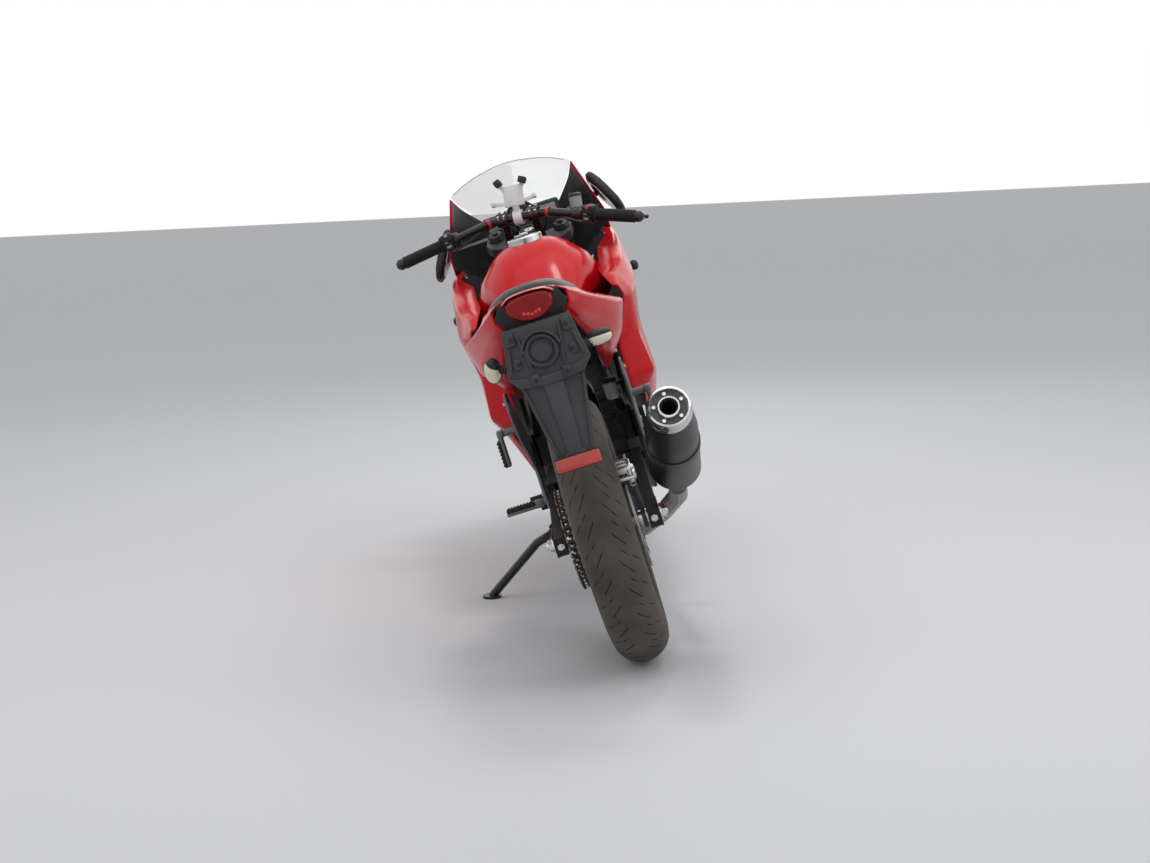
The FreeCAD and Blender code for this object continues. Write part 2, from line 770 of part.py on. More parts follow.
# Handlebar: risers, arched bar, grips with end weights, switches, levers, phone holder
bar_along = along_top + bar_rise
bar_ahead = -14.0
bar_points = [(0, 0, 0), (78, 0, 0), (132, -19, -13), (bar_half_width, -62, -58)]


def on_bar(x, dy, dz):
    """A point given from the middle of the bar."""
    return on_fork(x, bar_along, bar_ahead) + V(0, dy, dz)


def bar_at(distance):
    """A point on the right half of the bar by its x."""
    for (x0, y0, z0), (x1, y1, z1) in zip(bar_points, bar_points[1:]):
        if distance <= x1 or x1 == bar_points[-1][0]:
            share = (distance - x0) / (x1 - x0)
            return on_bar(distance, y0 + (y1 - y0) * share, z0 + (z1 - z0) * share)


def across(point):
    return V(-point.x, point.y, point.z)


def make_handlebar():
    right = [on_bar(*row) for row in bar_points]
    left = [across(p) for p in right[1:]][::-1]
    route = left + right[1:]
    pieces = [bent_rod(route, bar_radius, 16, 12)]
    for side in (-1, 1):
        foot = on_fork(side * 44, along_top + yoke_thickness / 2, bar_ahead)
        head = on_bar(side * 44, 0, 0)
        pieces.append(faceted(foot, head, 13))
        pieces.append(faceted(head - X * 14, head + X * 14, 20))
    return union(pieces)


handlebar = make_handlebar()


def make_grip():
    end = bar_at(bar_half_width)
    start = bar_at(bar_half_width - grip_length)
    run = (end - start).normalize()
    profile = [(0, grip_radius + 6), (0.04, grip_radius + 6), (0.05, grip_radius), (0.97, grip_radius)]
    sleeve = turned_bar(start, end, profile + [(0.97, grip_radius - 2), (1, grip_radius - 2)])
    sleeve = sleeve.cut(rod(start - run, end, bar_radius))
    weight = turned_bar(end, end + run * 22, [(0, grip_radius - 2), (0.6, grip_radius - 2), (0.7, 7), (1, 7)])
    return union([sleeve, weight])


grips = both_sides(make_grip())


def make_switch():
    start = bar_at(187)
    end = bar_at(bar_half_width - grip_length - 3)
    run = (end - start)
    unit = run * (1 / run.Length)
    middle = start + run * 0.5
    core = rod(start, end, 22)
    box = block(-run.Length / 2, run.Length / 2, -26, 24, -26, 26)
    turn = FreeCAD.Rotation(X, unit)
    box.Placement = FreeCAD.Placement(middle, turn)
    return union([core, box]).cut(rod(start - unit * 10, end + unit * 10, bar_radius))


switch_housings = both_sides(make_switch())


def make_lever():
    clamp = bar_at(174)
    run = (bar_at(bar_half_width) - clamp).normalize()
    out = V(0, 1, 0)
    perch = tube(clamp - run * 8, clamp + run * 8, 18, bar_radius)
    fulcrum = clamp + V(14, 38, 2)
    perch = perch.fuse(hex_bar(clamp + V(3, 16, 1), fulcrum, 8))
    perch = perch.fuse(hex_bar(fulcrum - Z * 9, fulcrum + Z * 9, 11))
    flat = [(-6, -8), (40, 20), (104, 2), (152, -12), (158, -4), (152, 2), (106, 14), (40, 34), (-8, 8)]
    blade = prism([fulcrum + V(x, y, -x * lever_droop - 5) for x, y in flat], Z * 10)
    return union([perch, blade])


levers = both_sides(make_lever())
cylinder_foot = bar_at(160) + V(0, 30, 8)
master_cylinder = union([
    tube(bar_at(156), bar_at(172), 17, bar_radius),
    hex_bar(bar_at(160) + V(0, 15, 2), cylinder_foot, 9),
    rod(cylinder_foot, cylinder_foot + V(0, 6, 44), 17),
])
left_lever, right_lever = sorted(levers.Solids, key=lambda solid: solid.CenterOfMass.x)
levers = together([left_lever, union([right_lever, master_cylinder])])


def make_phone_holder():
    base = on_bar(0, -4, bar_radius + soft_gap)
    post = rod(base, base + V(0, -6, 26), 9)
    collar = tube(on_bar(-12, 0, 0), on_bar(12, 0, 0), bar_radius + 9, bar_radius)
    arms = [block(-27, 27, -6, 0, -6, 34)]
    for x0, z0, x1, z1 in ((-20, 30, -36, 62), (20, 30, 32, 60), (-24, 6, -58, 8), (24, 6, 58, 12)):
        along = V(x1 - x0, 0, z1 - z0).normalize()
        side = V(-along.z, 0, along.x) * 5
        start, end = V(x0, 0, z0) - along * 6, V(x1, 0, z1)
        arms.append(prism([start - side, end - side, end + side, start + side], V(0, -6, 0)))
        arms.append(prism([end - along * 6 - side, end - side, end + side, end - along * 6 + side], V(0, -22, 0)))
    head = union(arms)
    head.rotate(V(0, 0, 0), X, -12)
    head = head.translated(base + V(0, -5, 24))
    return union([collar, post, head])


phone_holder = make_phone_holder()

# Frame: steering head, spars, pivot plates, swingarm bolt
head_middle = (head_low + head_high) / 2
head_point = on_fork(0, head_middle, 0)
spar_x = 118.0
rail_front = V(spar_x - 10, pivot_y + 140, 606)
rail_mid = V(96, pivot_y - 120, seat_height - 100)
rail_back = V(62, -150, seat_height - 10)
cross_rail = V(0, 60, seat_height - 44.2)
stay_turn = on_fork(0, head_middle, 135)
dash_y = head_point.y + 100
dash_foot = 930.0
lamp_back = head_point.y + 330
radiator_y = head_point.y - 82
engine_y = pivot_y + 34
case_left = -66.0
case_right = 96.0
engine_mount = V(0, engine_y + 13, 345)
rider_keel = seat_height - 64
tank_keel = 722.0
pivot_bolt_radius = 8.9


def make_frame():
    pieces = [tube(on_fork(0, head_low, 0), on_fork(0, head_high, 0), head_radius, stem_radius + running_gap)]
    for side in (-1, 1):
        spar = [on_fork(side * 18, head_low + 50, -20), V(side * spar_x, head_point.y - 160, 705),
                V(side * spar_x, pivot_y + 150, 610), V(side * (spar_x - 6), pivot_y + 8, 480),
                V(side * (spar_x - 6), pivot_y, 400)]
        pieces.append(bent_rod(spar, frame_radius))
        plate = [(-42, -50), (-40, 40), (-20, 120), (45, 130), (62, 50), (40, -60), (10, -88)]
        x0, x1 = sorted((side * (arm_outer + 5), side * (arm_outer + 13)))
        pieces.append(side_plate([(pivot_y + y, pivot_height + z) for y, z in plate], x0, x1))
        pieces.append(faceted(V(side * 90, pivot_y + 10, 455), V(side * (arm_outer + 9), pivot_y + 10, 455), 14))
        case_face = case_right if side > 0 else case_left
        pieces.append(faceted(engine_mount + X * (case_face + side * soft_gap),
                              engine_mount + X * side * (arm_outer + 9), 8))
        x0, x1 = sorted((side * 76, side * 92))
        pieces.append(block(x0, x1, pivot_y + 180, pivot_y + 210, 625, tank_keel - soft_gap))
    pieces.append(faceted(V(-spar_x, pivot_y + 30, 520), V(spar_x, pivot_y + 30, 520), 16))
    pieces.append(faceted(V(-spar_x, pivot_y + 195, 622), V(spar_x, pivot_y + 195, 622), 10))
    whole = union(pieces)
    whole = whole.cut(rod(on_fork(0, head_low - 5, 0), on_fork(0, head_high + 5, 0), stem_radius + running_gap))
    return whole.fuse(rod(pivot - X * (arm_outer + 13), pivot + X * (arm_outer + 13), pivot_bolt_radius))


frame = make_frame()


def make_cradle():
    """Two tubes down from the spars to the radiator's pins, joined by a cross tube."""
    pieces = []
    for side in (-1, 1):
        knee = V(side * 74, head_point.y - 90, 640)
        foot = V(side * 80, head_point.y - 130, 480)
        top = reach_to(frame, knee, on_fork(side * 16, head_low + 52, -14) - knee, frame_radius - 4, soft_gap)
        pieces.append(bent_rod([top, knee, foot], frame_radius - 4))
        pieces.append(faceted(foot + Z * 12, V(side * 80, radiator_y - soft_gap, foot.z + 12), 9))
    pieces.append(faceted(V(-75, head_point.y - 100, 600), V(75, head_point.y - 100, 600), 8))
    return union(pieces).cut(frame)


def make_subframe():
    """Seat rails and their stays, with the cross tubes and the shock's upper pin."""
    pieces = []
    for side in (-1, 1):
        middle = V(side * rail_mid.x, rail_mid.y, rail_mid.z)
        toward = V(side * rail_front.x, rail_front.y, rail_front.z)
        front = reach_to(frame, middle, toward - middle, rail_radius, soft_gap)
        pieces.append(bent_rod([front, middle, V(side * rail_back.x, rail_back.y, rail_back.z)], rail_radius))
        stay_top = V(side * 82, pivot_y - 330, seat_height - 68)
        stay_foot = V(side * (spar_x - 6), pivot_y + 6, 470)
        stay_low = reach_to(frame, stay_top, stay_foot - stay_top, rail_radius - 2, soft_gap)
        pieces.append(faceted(stay_low, stay_top, rail_radius - 2))
        share = (front.y - shock_high.y) / (front.y - middle.y)
        on_rail = front + (middle - front) * share
        pieces.append(faceted(shock_high + X * side * (shock_eye_half + soft_gap), shock_high + X * side * 96, 12))
        pieces.append(faceted(shock_high + X * side * 90, on_rail, 9))
        x0, x1 = sorted((side * 70, side * (rail_mid.x + 6)))
        pieces.append(block(x0, x1, pivot_y - 200, pivot_y - 180, seat_height - 90, rider_keel - soft_gap))
    pieces.append(rod(shock_high - X * 30, shock_high + X * 30, shock_pin))
    pieces.append(faceted(cross_rail - X * 80, cross_rail + X * 80, 9))
    brace = V(96, pivot_y - 150, seat_height - 94)
    pieces.append(faceted(V(-brace.x, brace.y, brace.z), brace, 9))
    return union(pieces).cut(frame)


def make_nose_stay():
    """The stay in front of the steering head that carries the dash and the headlamp."""
    pieces = [faceted(on_fork(0, head_middle, head_radius + soft_gap), stay_turn, 10)]
    pieces.append(faceted(V(0, stay_turn.y - 6, 884), V(0, lamp_back - soft_gap, 884), 9))
    pieces.append(faceted(V(0, dash_y + 60, 860), V(0, dash_y + 60, dash_foot - soft_gap), 9))
    return union(pieces)


engine_cradle = make_cradle()
subframe = make_subframe()
nose_stay = make_nose_stay()

# Engine, radiator, exhaust
cylinder_tilt = math.radians(20)


def make_engine():
    y0 = engine_y
    case = side_plate([(y0, 250), (y0 + 10, 400), (y0 + 110, 440), (y0 + 290, 430), (y0 + 330, 370), (y0 + 320, 240),
                       (y0 + 240, 195), (y0 + 60, 200)], case_left, case_right)
    front = side_plate([(y0 + 116, 240), (y0 + 116, 420), (y0 + 290, 430), (y0 + 330, 370), (y0 + 320, 240),
                        (y0 + 240, 205)], -108, case_left + 5)
    cover = side_plate([(y0 + 20, 306), (y0 + 30, 386), (y0 + 120, 396), (y0 + 120, 300)], -108, -97)
    pieces = [case, front, cover]
    pieces.append(Part.makeCylinder(27, 20, V(case_left - 18, front_sprocket.y, front_sprocket.z), X))
    pieces.append(Part.makeCylinder(84, 44, V(90, y0 + 130, 320), X))
    pieces.append(Part.makeCylinder(66, 58, V(90, y0 + 130, 320), X))
    pieces.append(Part.makeCylinder(72, 40, V(-100, y0 + 250, 320), -X))
    up = V(0, math.sin(cylinder_tilt), math.cos(cylinder_tilt))
    fore = V(0, math.cos(cylinder_tilt), -math.sin(cylinder_tilt))
    foot = V(0, y0 + 215, 400)
    for low, high, half_x, half_y in ((0, 95, 84, 62), (95, 165, 90, 72), (165, 200, 84, 60)):
        ring = [foot + up * low + X * a * half_x + fore * b * half_y for a, b in ((-1, -1), (1, -1), (1, 1), (-1, 1))]
        pieces.append(prism(ring, up * (high - low)))
    return union(pieces)


engine = make_engine()
port = V(0, engine_y + 215, 400) + V(0, math.sin(cylinder_tilt), math.cos(cylinder_tilt)) * 130
port_run = V(0, math.cos(cylinder_tilt), -math.sin(cylinder_tilt))
radiator = union([
    block(-135, 135, radiator_y, radiator_y + 26, 340, 560),
    block(-160, -135, radiator_y - 6, radiator_y + 32, 335, 565),
    block(135, 160, radiator_y - 6, radiator_y + 32, 335, 565),
])

silencer_tail = V(208, -258, 566)
silencer_head_dir = V(-26, 373, -221).normalize()
silencer_front = silencer_tail + silencer_head_dir * silencer_length


def make_silencer():
    start = silencer_tail + silencer_head_dir * 22
    full = silencer_tail + silencer_head_dir * 130
    body = cone(start, full, cap_radius_outside - 1, silencer_radius)
    body = body.fuse(rod(full, silencer_front, silencer_radius))
    bore = cap_radius_outside - 1 - silencer_wall
    hollow = rod(start - silencer_head_dir, silencer_front - silencer_head_dir * 10, bore)
    body = body.cut(hollow)
    tail = cone(silencer_front, silencer_front + silencer_head_dir * 46, silencer_radius - 2, 26)
    band_at = silencer_tail + silencer_head_dir * 190
    band = rod(band_at, band_at + silencer_head_dir * 24, silencer_radius + 3)
    return union([body, tail, band])


silencer_body = make_silencer()


def make_silencer_cap():
    deep = silencer_head_dir
    ring = rod(silencer_tail, silencer_tail + deep * 21.7, cap_radius_outside)
    ring = ring.cut(rod(silencer_tail - deep, silencer_tail + deep * 10, cap_radius_outside - 8))
    outlet = rod(silencer_tail + deep * 2, silencer_tail + deep * 16, 20)
    whole = union([ring, outlet])
    return whole.cut(rod(silencer_tail, silencer_tail + deep * 14, 15))


silencer_cap = make_silencer_cap()
silencer_joint = silencer_front + silencer_head_dir * 46


def make_header():
    pieces = []
    for side in (-1, 1):
        start = port + X * side * 46 + port_run * (72 + soft_gap)
        knee = start + port_run * 46
        low_y = knee.y + 4
        route = [start, knee, V(side * 46, low_y, 215), V(side * 40, low_y - 75, 160), V(52, engine_y + 95, 160)]
        pieces.append(bent_rod(route, 17, 22, 10))
    main = [V(52, engine_y + 110, 160), V(70, pivot_y + 30, 168), V(128, pivot_y - 110, 218),
            silencer_joint + silencer_head_dir * 60, silencer_joint + silencer_head_dir * soft_gap]
    pieces.append(bent_rod(main, 22, 0, 12))
    return union(pieces)


exhaust_header = make_header()

# Bodywork: tank, seats, tail
def shifted(rows, dy, dz):
    """Rows of (y, outline) moved together."""
    return [(y + dy, [(x, z + dz) for x, z in outline]) for y, outline in rows]


def solid_between(rows):
    return loft([section(outline, y) for y, outline in rows])


# Rows: y from the pivot, then x, z pairs: crown, dome, dome side, crease, shoulder, tuck, keel
tank_rows = [
    (36, ((0, 812), (54, 808), (90, 790), (98, 772), (99, 752), (84, 735), (0, 735))),
    (116, ((0, 884), (62, 878), (112, 842), (124, 812), (128, 770), (104, 727), (0, 727))),
    (196, ((0, 930), (74, 921), (136, 862), (150, 826), (176, 784), (140, 722), (0, 722))),
    (266, ((0, 943), (80, 929), (142, 864), (160, 828), (214, 802), (204, 728), (0, 722))),
    (336, ((0, 922), (66, 912), (112, 856), (150, 820), (214, 800), (204, 732), (0, 728))),
    (396, ((0, 882), (44, 874), (78, 842), (120, 806), (200, 796), (192, 742), (0, 745))),
    (430, ((0, 846), (36, 840), (60, 822), (90, 800), (160, 790), (156, 752), (0, 758))),
]


cap_centre = V(0, pivot_y + 250, tank_crown - 2)
cap_ring_height = 8.0
cap_radius = 34.0
pin_radius = 2.0
hinge_line = cap_centre + V(0, cap_radius + 6, cap_ring_height + 4)
ring_holes = 5
ring_hole_radius = 2.1
ring_hole_pcd = 82.0


def make_tank():
    """The tank with its filler ring, hinge lugs, hinge pin and bolt holes."""
    rows = [(pivot_y + y, [(x, z) for x, z in half]) for y, half in tank_rows]
    whole = solid_between(rows)
    pieces = [whole, Part.makeCylinder(47, 21, cap_centre + Z * (cap_ring_height - 21), Z)]
    whole = union(pieces).cut(Part.makeCylinder(cap_radius + 1, 30, cap_centre - Z * 8, Z))
    lugs = []
    for side in (-1, 1):
        x0, x1 = sorted((side * 6.5, side * 11))
        lug_z = cap_centre.z + cap_ring_height - 2
        lugs.append(block(x0, x1, hinge_line.y - 4, hinge_line.y + 4, lug_z, hinge_line.z + 4))
    lugs.append(rod(hinge_line - X * 9, hinge_line + X * 9, pin_radius))
    whole = union([whole] + lugs)
    for i in range(ring_holes):
        a = 2 * math.pi * (i + 0.75) / ring_holes
        spot = cap_centre + V(math.cos(a), math.sin(a), 0) * (ring_hole_pcd / 2) + Z * (cap_ring_height - 12)
        whole = whole.cut(Part.makeCylinder(ring_hole_radius, 20, spot, Z))
    return whole


fuel_tank = make_tank()


def make_fuel_cap():
    lid = Part.makeCylinder(cap_radius, 7, cap_centre + Z * 2, Z)
    arm = block(-6, 6, hinge_line.y - 18, hinge_line.y, cap_centre.z + 8.5, hinge_line.z + 2)
    knuckle = rod(hinge_line - X * 6, hinge_line + X * 6, 4)
    whole = union([lid, arm, knuckle])
    return whole.cut(rod(hinge_line - X * 20, hinge_line + X * 20, pin_radius + running_gap))


fuel_cap = make_fuel_cap()

seat_join = pivot_y - 335.0
# Heights in the rows of seats and tail are from the rider's seat
rider_rows = [
    (seat_join + 4, [(0, 18), (70, 16), (122, 2), (132, -28), (112, -52), (0, -52)]),
    (seat_join + 120, [(0, 2), (74, 0), (124, -14), (134, -46), (110, -64), (0, -64)]),
    (seat_join + 250, [(0, 2), (64, 0), (106, -12), (118, -46), (96, -64), (0, -64)]),
    (seat_join + 364, [(0, 18), (50, 14), (82, -2), (92, -30), (80, -52), (0, -52)]),
]
rider_seat = solid_between(shifted(rider_rows, 0, seat_height))
pillion_rows = [
    (-232, [(0, 94), (54, 90), (84, 70), (92, 48), (0, 48)]),
    (-190, [(0, 112), (60, 107), (97, 74), (102, 50), (0, 48)]),
    (-60, [(0, 92), (62, 88), (102, 62), (108, 38), (0, 34)]),
    (80, [(0, 68), (64, 64), (106, 42), (112, 18), (0, 14)]),
    (seat_join, [(0, 62), (62, 56), (100, 36), (108, 10), (0, 6)]),
]
pillion_seat = solid_between(shifted(pillion_rows, 0, seat_height))

# Rows: y, then x, z pairs down the outside of the right-hand tail panel
tail_rows = [
    (-296, [(60, 90), (80, 78), (80, 52), (64, 32)]),
    (-240, [(99, 68), (108, 52), (100, 22), (78, 0)]),
    (-140, [(110, 50), (140, 28), (128, -14), (92, -44)]),
    (0, [(115, 34), (176, 0), (158, -68), (104, -112)]),
    (150, [(116, 16), (190, -16), (164, -90), (106, -164)]),
    (300, [(136, 0), (190, -30), (164, -100), (98, -178)]),
]
tail_right = skin(shifted(tail_rows, 0, seat_height), wall)
tail_left = mirrored(tail_right)
lip_rows = [
    (-322, [(-58, 80), (-40, 95.5), (0, 98.5), (40, 95.5), (58, 80)]),
    (-296, [(-57.6, 88.6), (-42, 97), (0, 99.5), (42, 97), (57.6, 88.6)]),
    (-238, [(-95.2, 67.4), (-60, 89), (0, 97), (60, 89), (95.2, 67.4)]),
]
tail_centre = skin(shifted(lip_rows, 0, seat_height), screen_wall)
fender_depth = 16.0
fender_top = seat_height + 32
fender_lean = 0.19
plate_hole_x = 30.0
plate_hole_z = seat_height - 100
plate_hole_radius = 3.1


def fender_face(z):
    """Where the rear fender's back face lies at a height."""
    return lamp_y - 14 - (fender_top - z) * fender_lean


undertray = solid_between(shifted([
    (fender_face(fender_top) + fender_depth + soft_gap, [(0, 34), (56, 34), (60, 16), (52, -10), (0, -14)]),
    (-190, [(0, 16), (44, 14), (47, -4), (42, -28), (0, -34)]),
    (-60, [(0, -38), (50, -38), (54, -48), (48, -68), (0, -74)]),
    (170, [(0, -68), (60, -68), (62, -78), (54, -98), (0, -104)]),
], 0, seat_height))
tail_lamp = solid_between(shifted([
    (lamp_y - 8, [(0, 94), (38, 92), (52, 78), (48, 52), (26, 36), (0, 34.4)]),
    (lamp_y + 40, [(0, 92), (42, 90), (56, 77), (52, 52), (30, 36), (0, 34.4)]),
], 0, seat_height))


def make_rear_fender():
    outline = [(-72, 32), (72, 32), (78, -10), (88, -64), (66, -90), (40, -244), (34, -270), (-34, -270), (-40, -244),
               (-66, -90), (-88, -64), (-78, -10)]
    front = []
    for x, rise in outline:
        z = seat_height + rise
        front.append(V(x, fender_face(z), z))
    plate = prism(front, V(0, fender_depth, 0))
    for side in (-1, 1):
        mouth = V(side * plate_hole_x, -500, plate_hole_z)
        plate = plate.cut(rod(mouth, mouth + Y * 300, plate_hole_radius))
    return plate


rear_fender = make_rear_fender()
reflector_low = seat_height - 269
reflector_high = seat_height - 243
reflector_side = [(reflector_low, 10), (reflector_low, soft_gap), (reflector_high, soft_gap), (reflector_high, 10)]
reflector = prism([V(-46, fender_face(z) - back, z) for z, back in reflector_side], X * 92)

# Side fairings: rows are y from the steering head, then x, z pairs down the outside on the right
fairing_rows = [
    (-540, [(178, 779), (192, 773), (199, 746), (150, 640), (146, 556), (149, 511)]),
    (-480, [(162, 806), (190, 802), (222, 752), (206, 640), (216, 540), (176, 490)]),
    (-397, [(158, 815), (212, 812), (236, 752), (216, 650), (222, 525), (170, 440)]),
    (-330, [(166, 834), (224, 826), (240, 765), (220, 650), (224, 515), (164, 400)]),
    (-190, [(172, 857), (234, 852), (246, 776), (224, 650), (222, 490), (158, 300)]),
    (-40, [(206, 876), (236, 872), (244, 792), (218, 670), (208, 490), (150, 280)]),
    (90, [(206, 892), (231, 883), (230, 795), (210, 690), (198, 560), (188, 470)]),
    (190, [(200, 880), (212, 872.4), (208, 800), (197, 720), (191, 640), (188, 560)]),
]
fairing_right = skin([(head_point.y + y, outline) for y, outline in fairing_rows], wall)
fairing_left = mirrored(fairing_right)
nose_rows = [
    (96, [(178, 1092), (206, 1004), (228, 938), (228, 885)]),
    (190, [(160, 1052), (194, 979), (215, 907), (213, 874.6)]),
    (280, [(118, 1000), (160, 940), (182, 880), (168, 820)]),
    (360, [(64, 946), (112, 900), (132, 850), (110, 790)]),
    (430, [(12, 886), (50, 862), (62, 832), (44, 796)]),
]
nose_half = skin([(head_point.y + y, outline) for y, outline in nose_rows], wall)
nose_tip = [(0, 886)] + nose_rows[-1][1] + [(0, 790)]
mask_back = head_point.y + nose_rows[-1][0] - 6
mask = prism(section(nose_tip, mask_back), Y * 6)
nose_cowl = union([nose_half, mirrored(nose_half), mask])
screen_rows = [
    (46, ((0, 1140), (70, 1132), (128, 1116), (164, 1100))),
    (96, ((0, 1122), (72, 1116), (134, 1105), (176, 1094.5))),
    (190, ((0, 1074), (64, 1070), (118, 1064), (158, 1054.5))),
    (280, ((0, 1012), (50, 1010), (90, 1008), (116, 1002.5))),
    (360, ((0, 952), (30, 951), (50, 950.5), (62, 948.5))),
]
screen_outlines = []
for y, half in screen_rows:
    outline = [(-x, z) for x, z in half[:0:-1]] + list(half)
    screen_outlines.append((head_point.y + y, outline))
windscreen = skin(screen_outlines, screen_wall)
headlamp = solid_between([
    (lamp_back, [(0, 900), (90, 890), (110, 850), (90, 806), (0, 800)]),
    (mask_back - soft_gap, [(0, 872), (40, 858), (48, 832), (36, 806), (0, 800)]),
])
instrument_panel = union([
    block(-112, 112, dash_y, dash_y + 34, 940, 1010),
    Part.makeCylinder(46, 44, V(0, dash_y - 8, 985), Y),
    block(-20, 20, dash_y + 20, dash_y + 110, dash_foot, 950),
])


def innermost(shape, neighbour):
    """What is left of a plate inside its neighbour's walls."""
    return min(shape.cut(neighbour).Solids, key=lambda solid: abs(solid.CenterOfMass.x))


def make_liners():
    """Black panels behind each side fairing and one across the nose in front of the dash."""
    back = head_point.y - 390
    outline = [(140, 446), (140, 712), (178, 765), (196, 800), (260, 800), (260, 446)]
    side_liner = innermost(prism([V(x, back, z) for x, z in outline], Y * 3), fairing_right)
    peg = V(146, back + 1.5, 616)
    side_liner = union([side_liner, faceted(peg, reach_to(frame, peg, X * -1, 6, soft_gap), 6)])
    shelf_z = dash_foot + 20 + soft_gap
    shelf_back = dash_y + 36.4
    plan = [(-260, dash_y + 10), (-112.4, dash_y + 10), (-112.4, shelf_back), (112.4, shelf_back),
            (112.4, dash_y + 10), (260, dash_y + 10), (260, dash_y + 240), (-260, dash_y + 240)]
    shelf = innermost(prism([V(x, y, shelf_z) for x, y in plan], Z * 3), nose_cowl)
    return [side_liner, mirrored(side_liner), shelf]


inner_liners = together(make_liners())


def make_mirror(drop):
    root = V(196, head_point.y + 190, 980)
    inner = V(210, head_point.y + 160, 1037 - drop)
    outer = V(276, head_point.y + 110, 919 - drop)
    middle = (inner + outer) * 0.5
    arm = faceted(reach_to(nose_half, middle, root - middle, 8, 0.8), middle, 8)
    run = (outer - inner).normalize()
    face = V(0.75, 0.25, 0.5).cross(run).normalize()
    deep = run.cross(face).normalize()
    rings = []
    for place, half_w, half_d in ((0, 24, 9), (0.25, 38, 16), (0.8, 36, 14), (1.0, 20, 8)):
        middle = inner + (outer - inner) * place
        rings.append([middle + face * a * half_w + deep * b * half_d for a, b in ((-1, -1), (1, -1), (1, 1), (-1, 1))])
    return union([loft(rings), arm])


mirrors = together([make_mirror(0), mirrored(make_mirror(32))])


def make_signals():
    bowl = [(0, 8), (0.2, 17), (0.6, 20), (0.85, 14), (1, 5)]
    small = [(share, radius * 0.7) for share, radius in bowl]
    rear_lens = V(114, -296, 750)
    rear_foot = reach_to(rear_fender, rear_lens, V(-34, -22, -4), 7, 1)
    front_lens = V(256, head_point.y + 20, 768)
    front_foot = reach_to(fairing_right, front_lens, X * -1, 5, soft_gap)
    rear_bowl = turned_bar(rear_lens + Y * 10, rear_lens - Y * 24, bowl)
    rear = union([faceted(rear_foot, rear_lens, 7), rear_bowl])
    front = union([faceted(front_foot, front_lens, 5), turned_bar(front_lens - Y * 13, front_lens + Y * 13, small)])
    return [rear, mirrored(rear), front, mirrored(front)]


turn_signals = together(make_signals())

# Controls and stands on the chassis
bracket_x = arm_outer + 13.5
hanger = side_plate([(pivot_y - 44, 300), (pivot_y - 36, 400), (240, 520), (172, 600), (180, 640), (226, 640),
                     (pivot_y + 30, 470), (pivot_y + 40, 300)], bracket_x, bracket_x + 8)
footrest_brackets = both_sides(hanger)
rider_pegs = both_sides(union([
    faceted(V(bracket_x + 8.3, pivot_y - 25, 318), V(bracket_x + 30, pivot_y - 25, 318), 9),
    block(bracket_x + 28, bracket_x + 112, pivot_y - 38, pivot_y - 12, 308, 326),
]))
pillion_pegs = both_sides(union([
    faceted(V(bracket_x + 8.3, 258, 546), V(bracket_x + 44, 258, 546), 9),
    block(bracket_x + 38, bracket_x + 60, 243, 273, 462, 550),
]))
pedal_side = [(pivot_y - 2, 294), (pivot_y + 90, 284), (pivot_y + 158, 292), (pivot_y + 158, 306),
              (pivot_y + 90, 298), (pivot_y - 2, 308)]
foot_pedals = both_sides(union([
    faceted(V(bracket_x + 8.3, pivot_y + 10, 300), V(bracket_x + 26, pivot_y + 10, 300), 9),
    side_plate(pedal_side, bracket_x + 16, bracket_x + 25),
    faceted(V(bracket_x + 14, pivot_y + 150, 300), V(bracket_x + 56, pivot_y + 150, 300), 8),
]))
brake_reservoir = union([
    rod(V(99, 300, 540), V(99, 300, 580), 16),
    rod(V(99, 300, 580), V(99, 300, 592), 19),
    block(108, bracket_x - soft_gap, 294, 306, 568, 578),
])

# Side stand: leg from its lug to a pad that lies flat on the ground
stand_pivot = V(-142, pivot_y + 54, 232)
stand_foot_x = -357.0
stand_foot_y = 640.0
stand_folded = V(-0.25, -0.93, 0.1)
pad_thickness = 7.0
pad_radius = 24.0
eye_radius = 19.0
eye_height = 16.0
stand_bolt_radius = 6.0


# Setting down: turn the steering, lean, tilt until both tyres touch, then find the ground
def steer(shape):
    turned = shape.copy()
    turned.rotate(steer_foot, up_axis, steering_rest)
    return turned


def turn_vector(vector, axis, angle):
    return FreeCAD.Rotation(axis, math.degrees(angle)).multVec(vector)


def to_ground_frame(point, tilt):
    leaned = turn_vector(point, Y, -lean)
    return turn_vector(leaned, X, tilt)


def lowest(centre, spin, radius, width, tilt):
    crown = width / 2
    middle = to_ground_frame(centre, tilt)
    axis = to_ground_frame(spin, tilt)
    return middle.z - (radius - crown) * math.sqrt(1 - axis.z**2) - crown


steer_turn = FreeCAD.Rotation(up_axis, steering_rest)
front_spin = steer_turn.multVec(X)
front_centre = steer_foot + steer_turn.multVec(front_hub - steer_foot)
tilt = 0.0
for _ in range(6):
    rear_low = lowest(rear_hub, X, rear_tyre_radius, rear_tyre_width, tilt)
    front_low = lowest(front_centre, front_spin, front_tyre_radius, front_tyre_width, tilt)
    tilt -= (front_low - rear_low) / wheelbase
ground = lowest(rear_hub, X, rear_tyre_radius, rear_tyre_width, tilt)


def to_upright(point):
    """From the parked frame, before it is centred, back to the upright bike."""
    raised = point + Z * ground
    return turn_vector(turn_vector(raised, X, -tilt), Y, lean)


foot_ground = to_ground_frame(V(stand_foot_x, stand_foot_y, 110), tilt)
foot_centre = V(foot_ground.x, foot_ground.y, 0)
down = to_upright(V(0, 0, -1)) - to_upright(V(0, 0, 0))


sole = to_upright(foot_centre)
stand_down = (sole - stand_pivot).normalize()
stand_axis = stand_down.cross(stand_folded).normalize()
stand_travel = math.degrees(stand_down.getAngle(stand_folded))


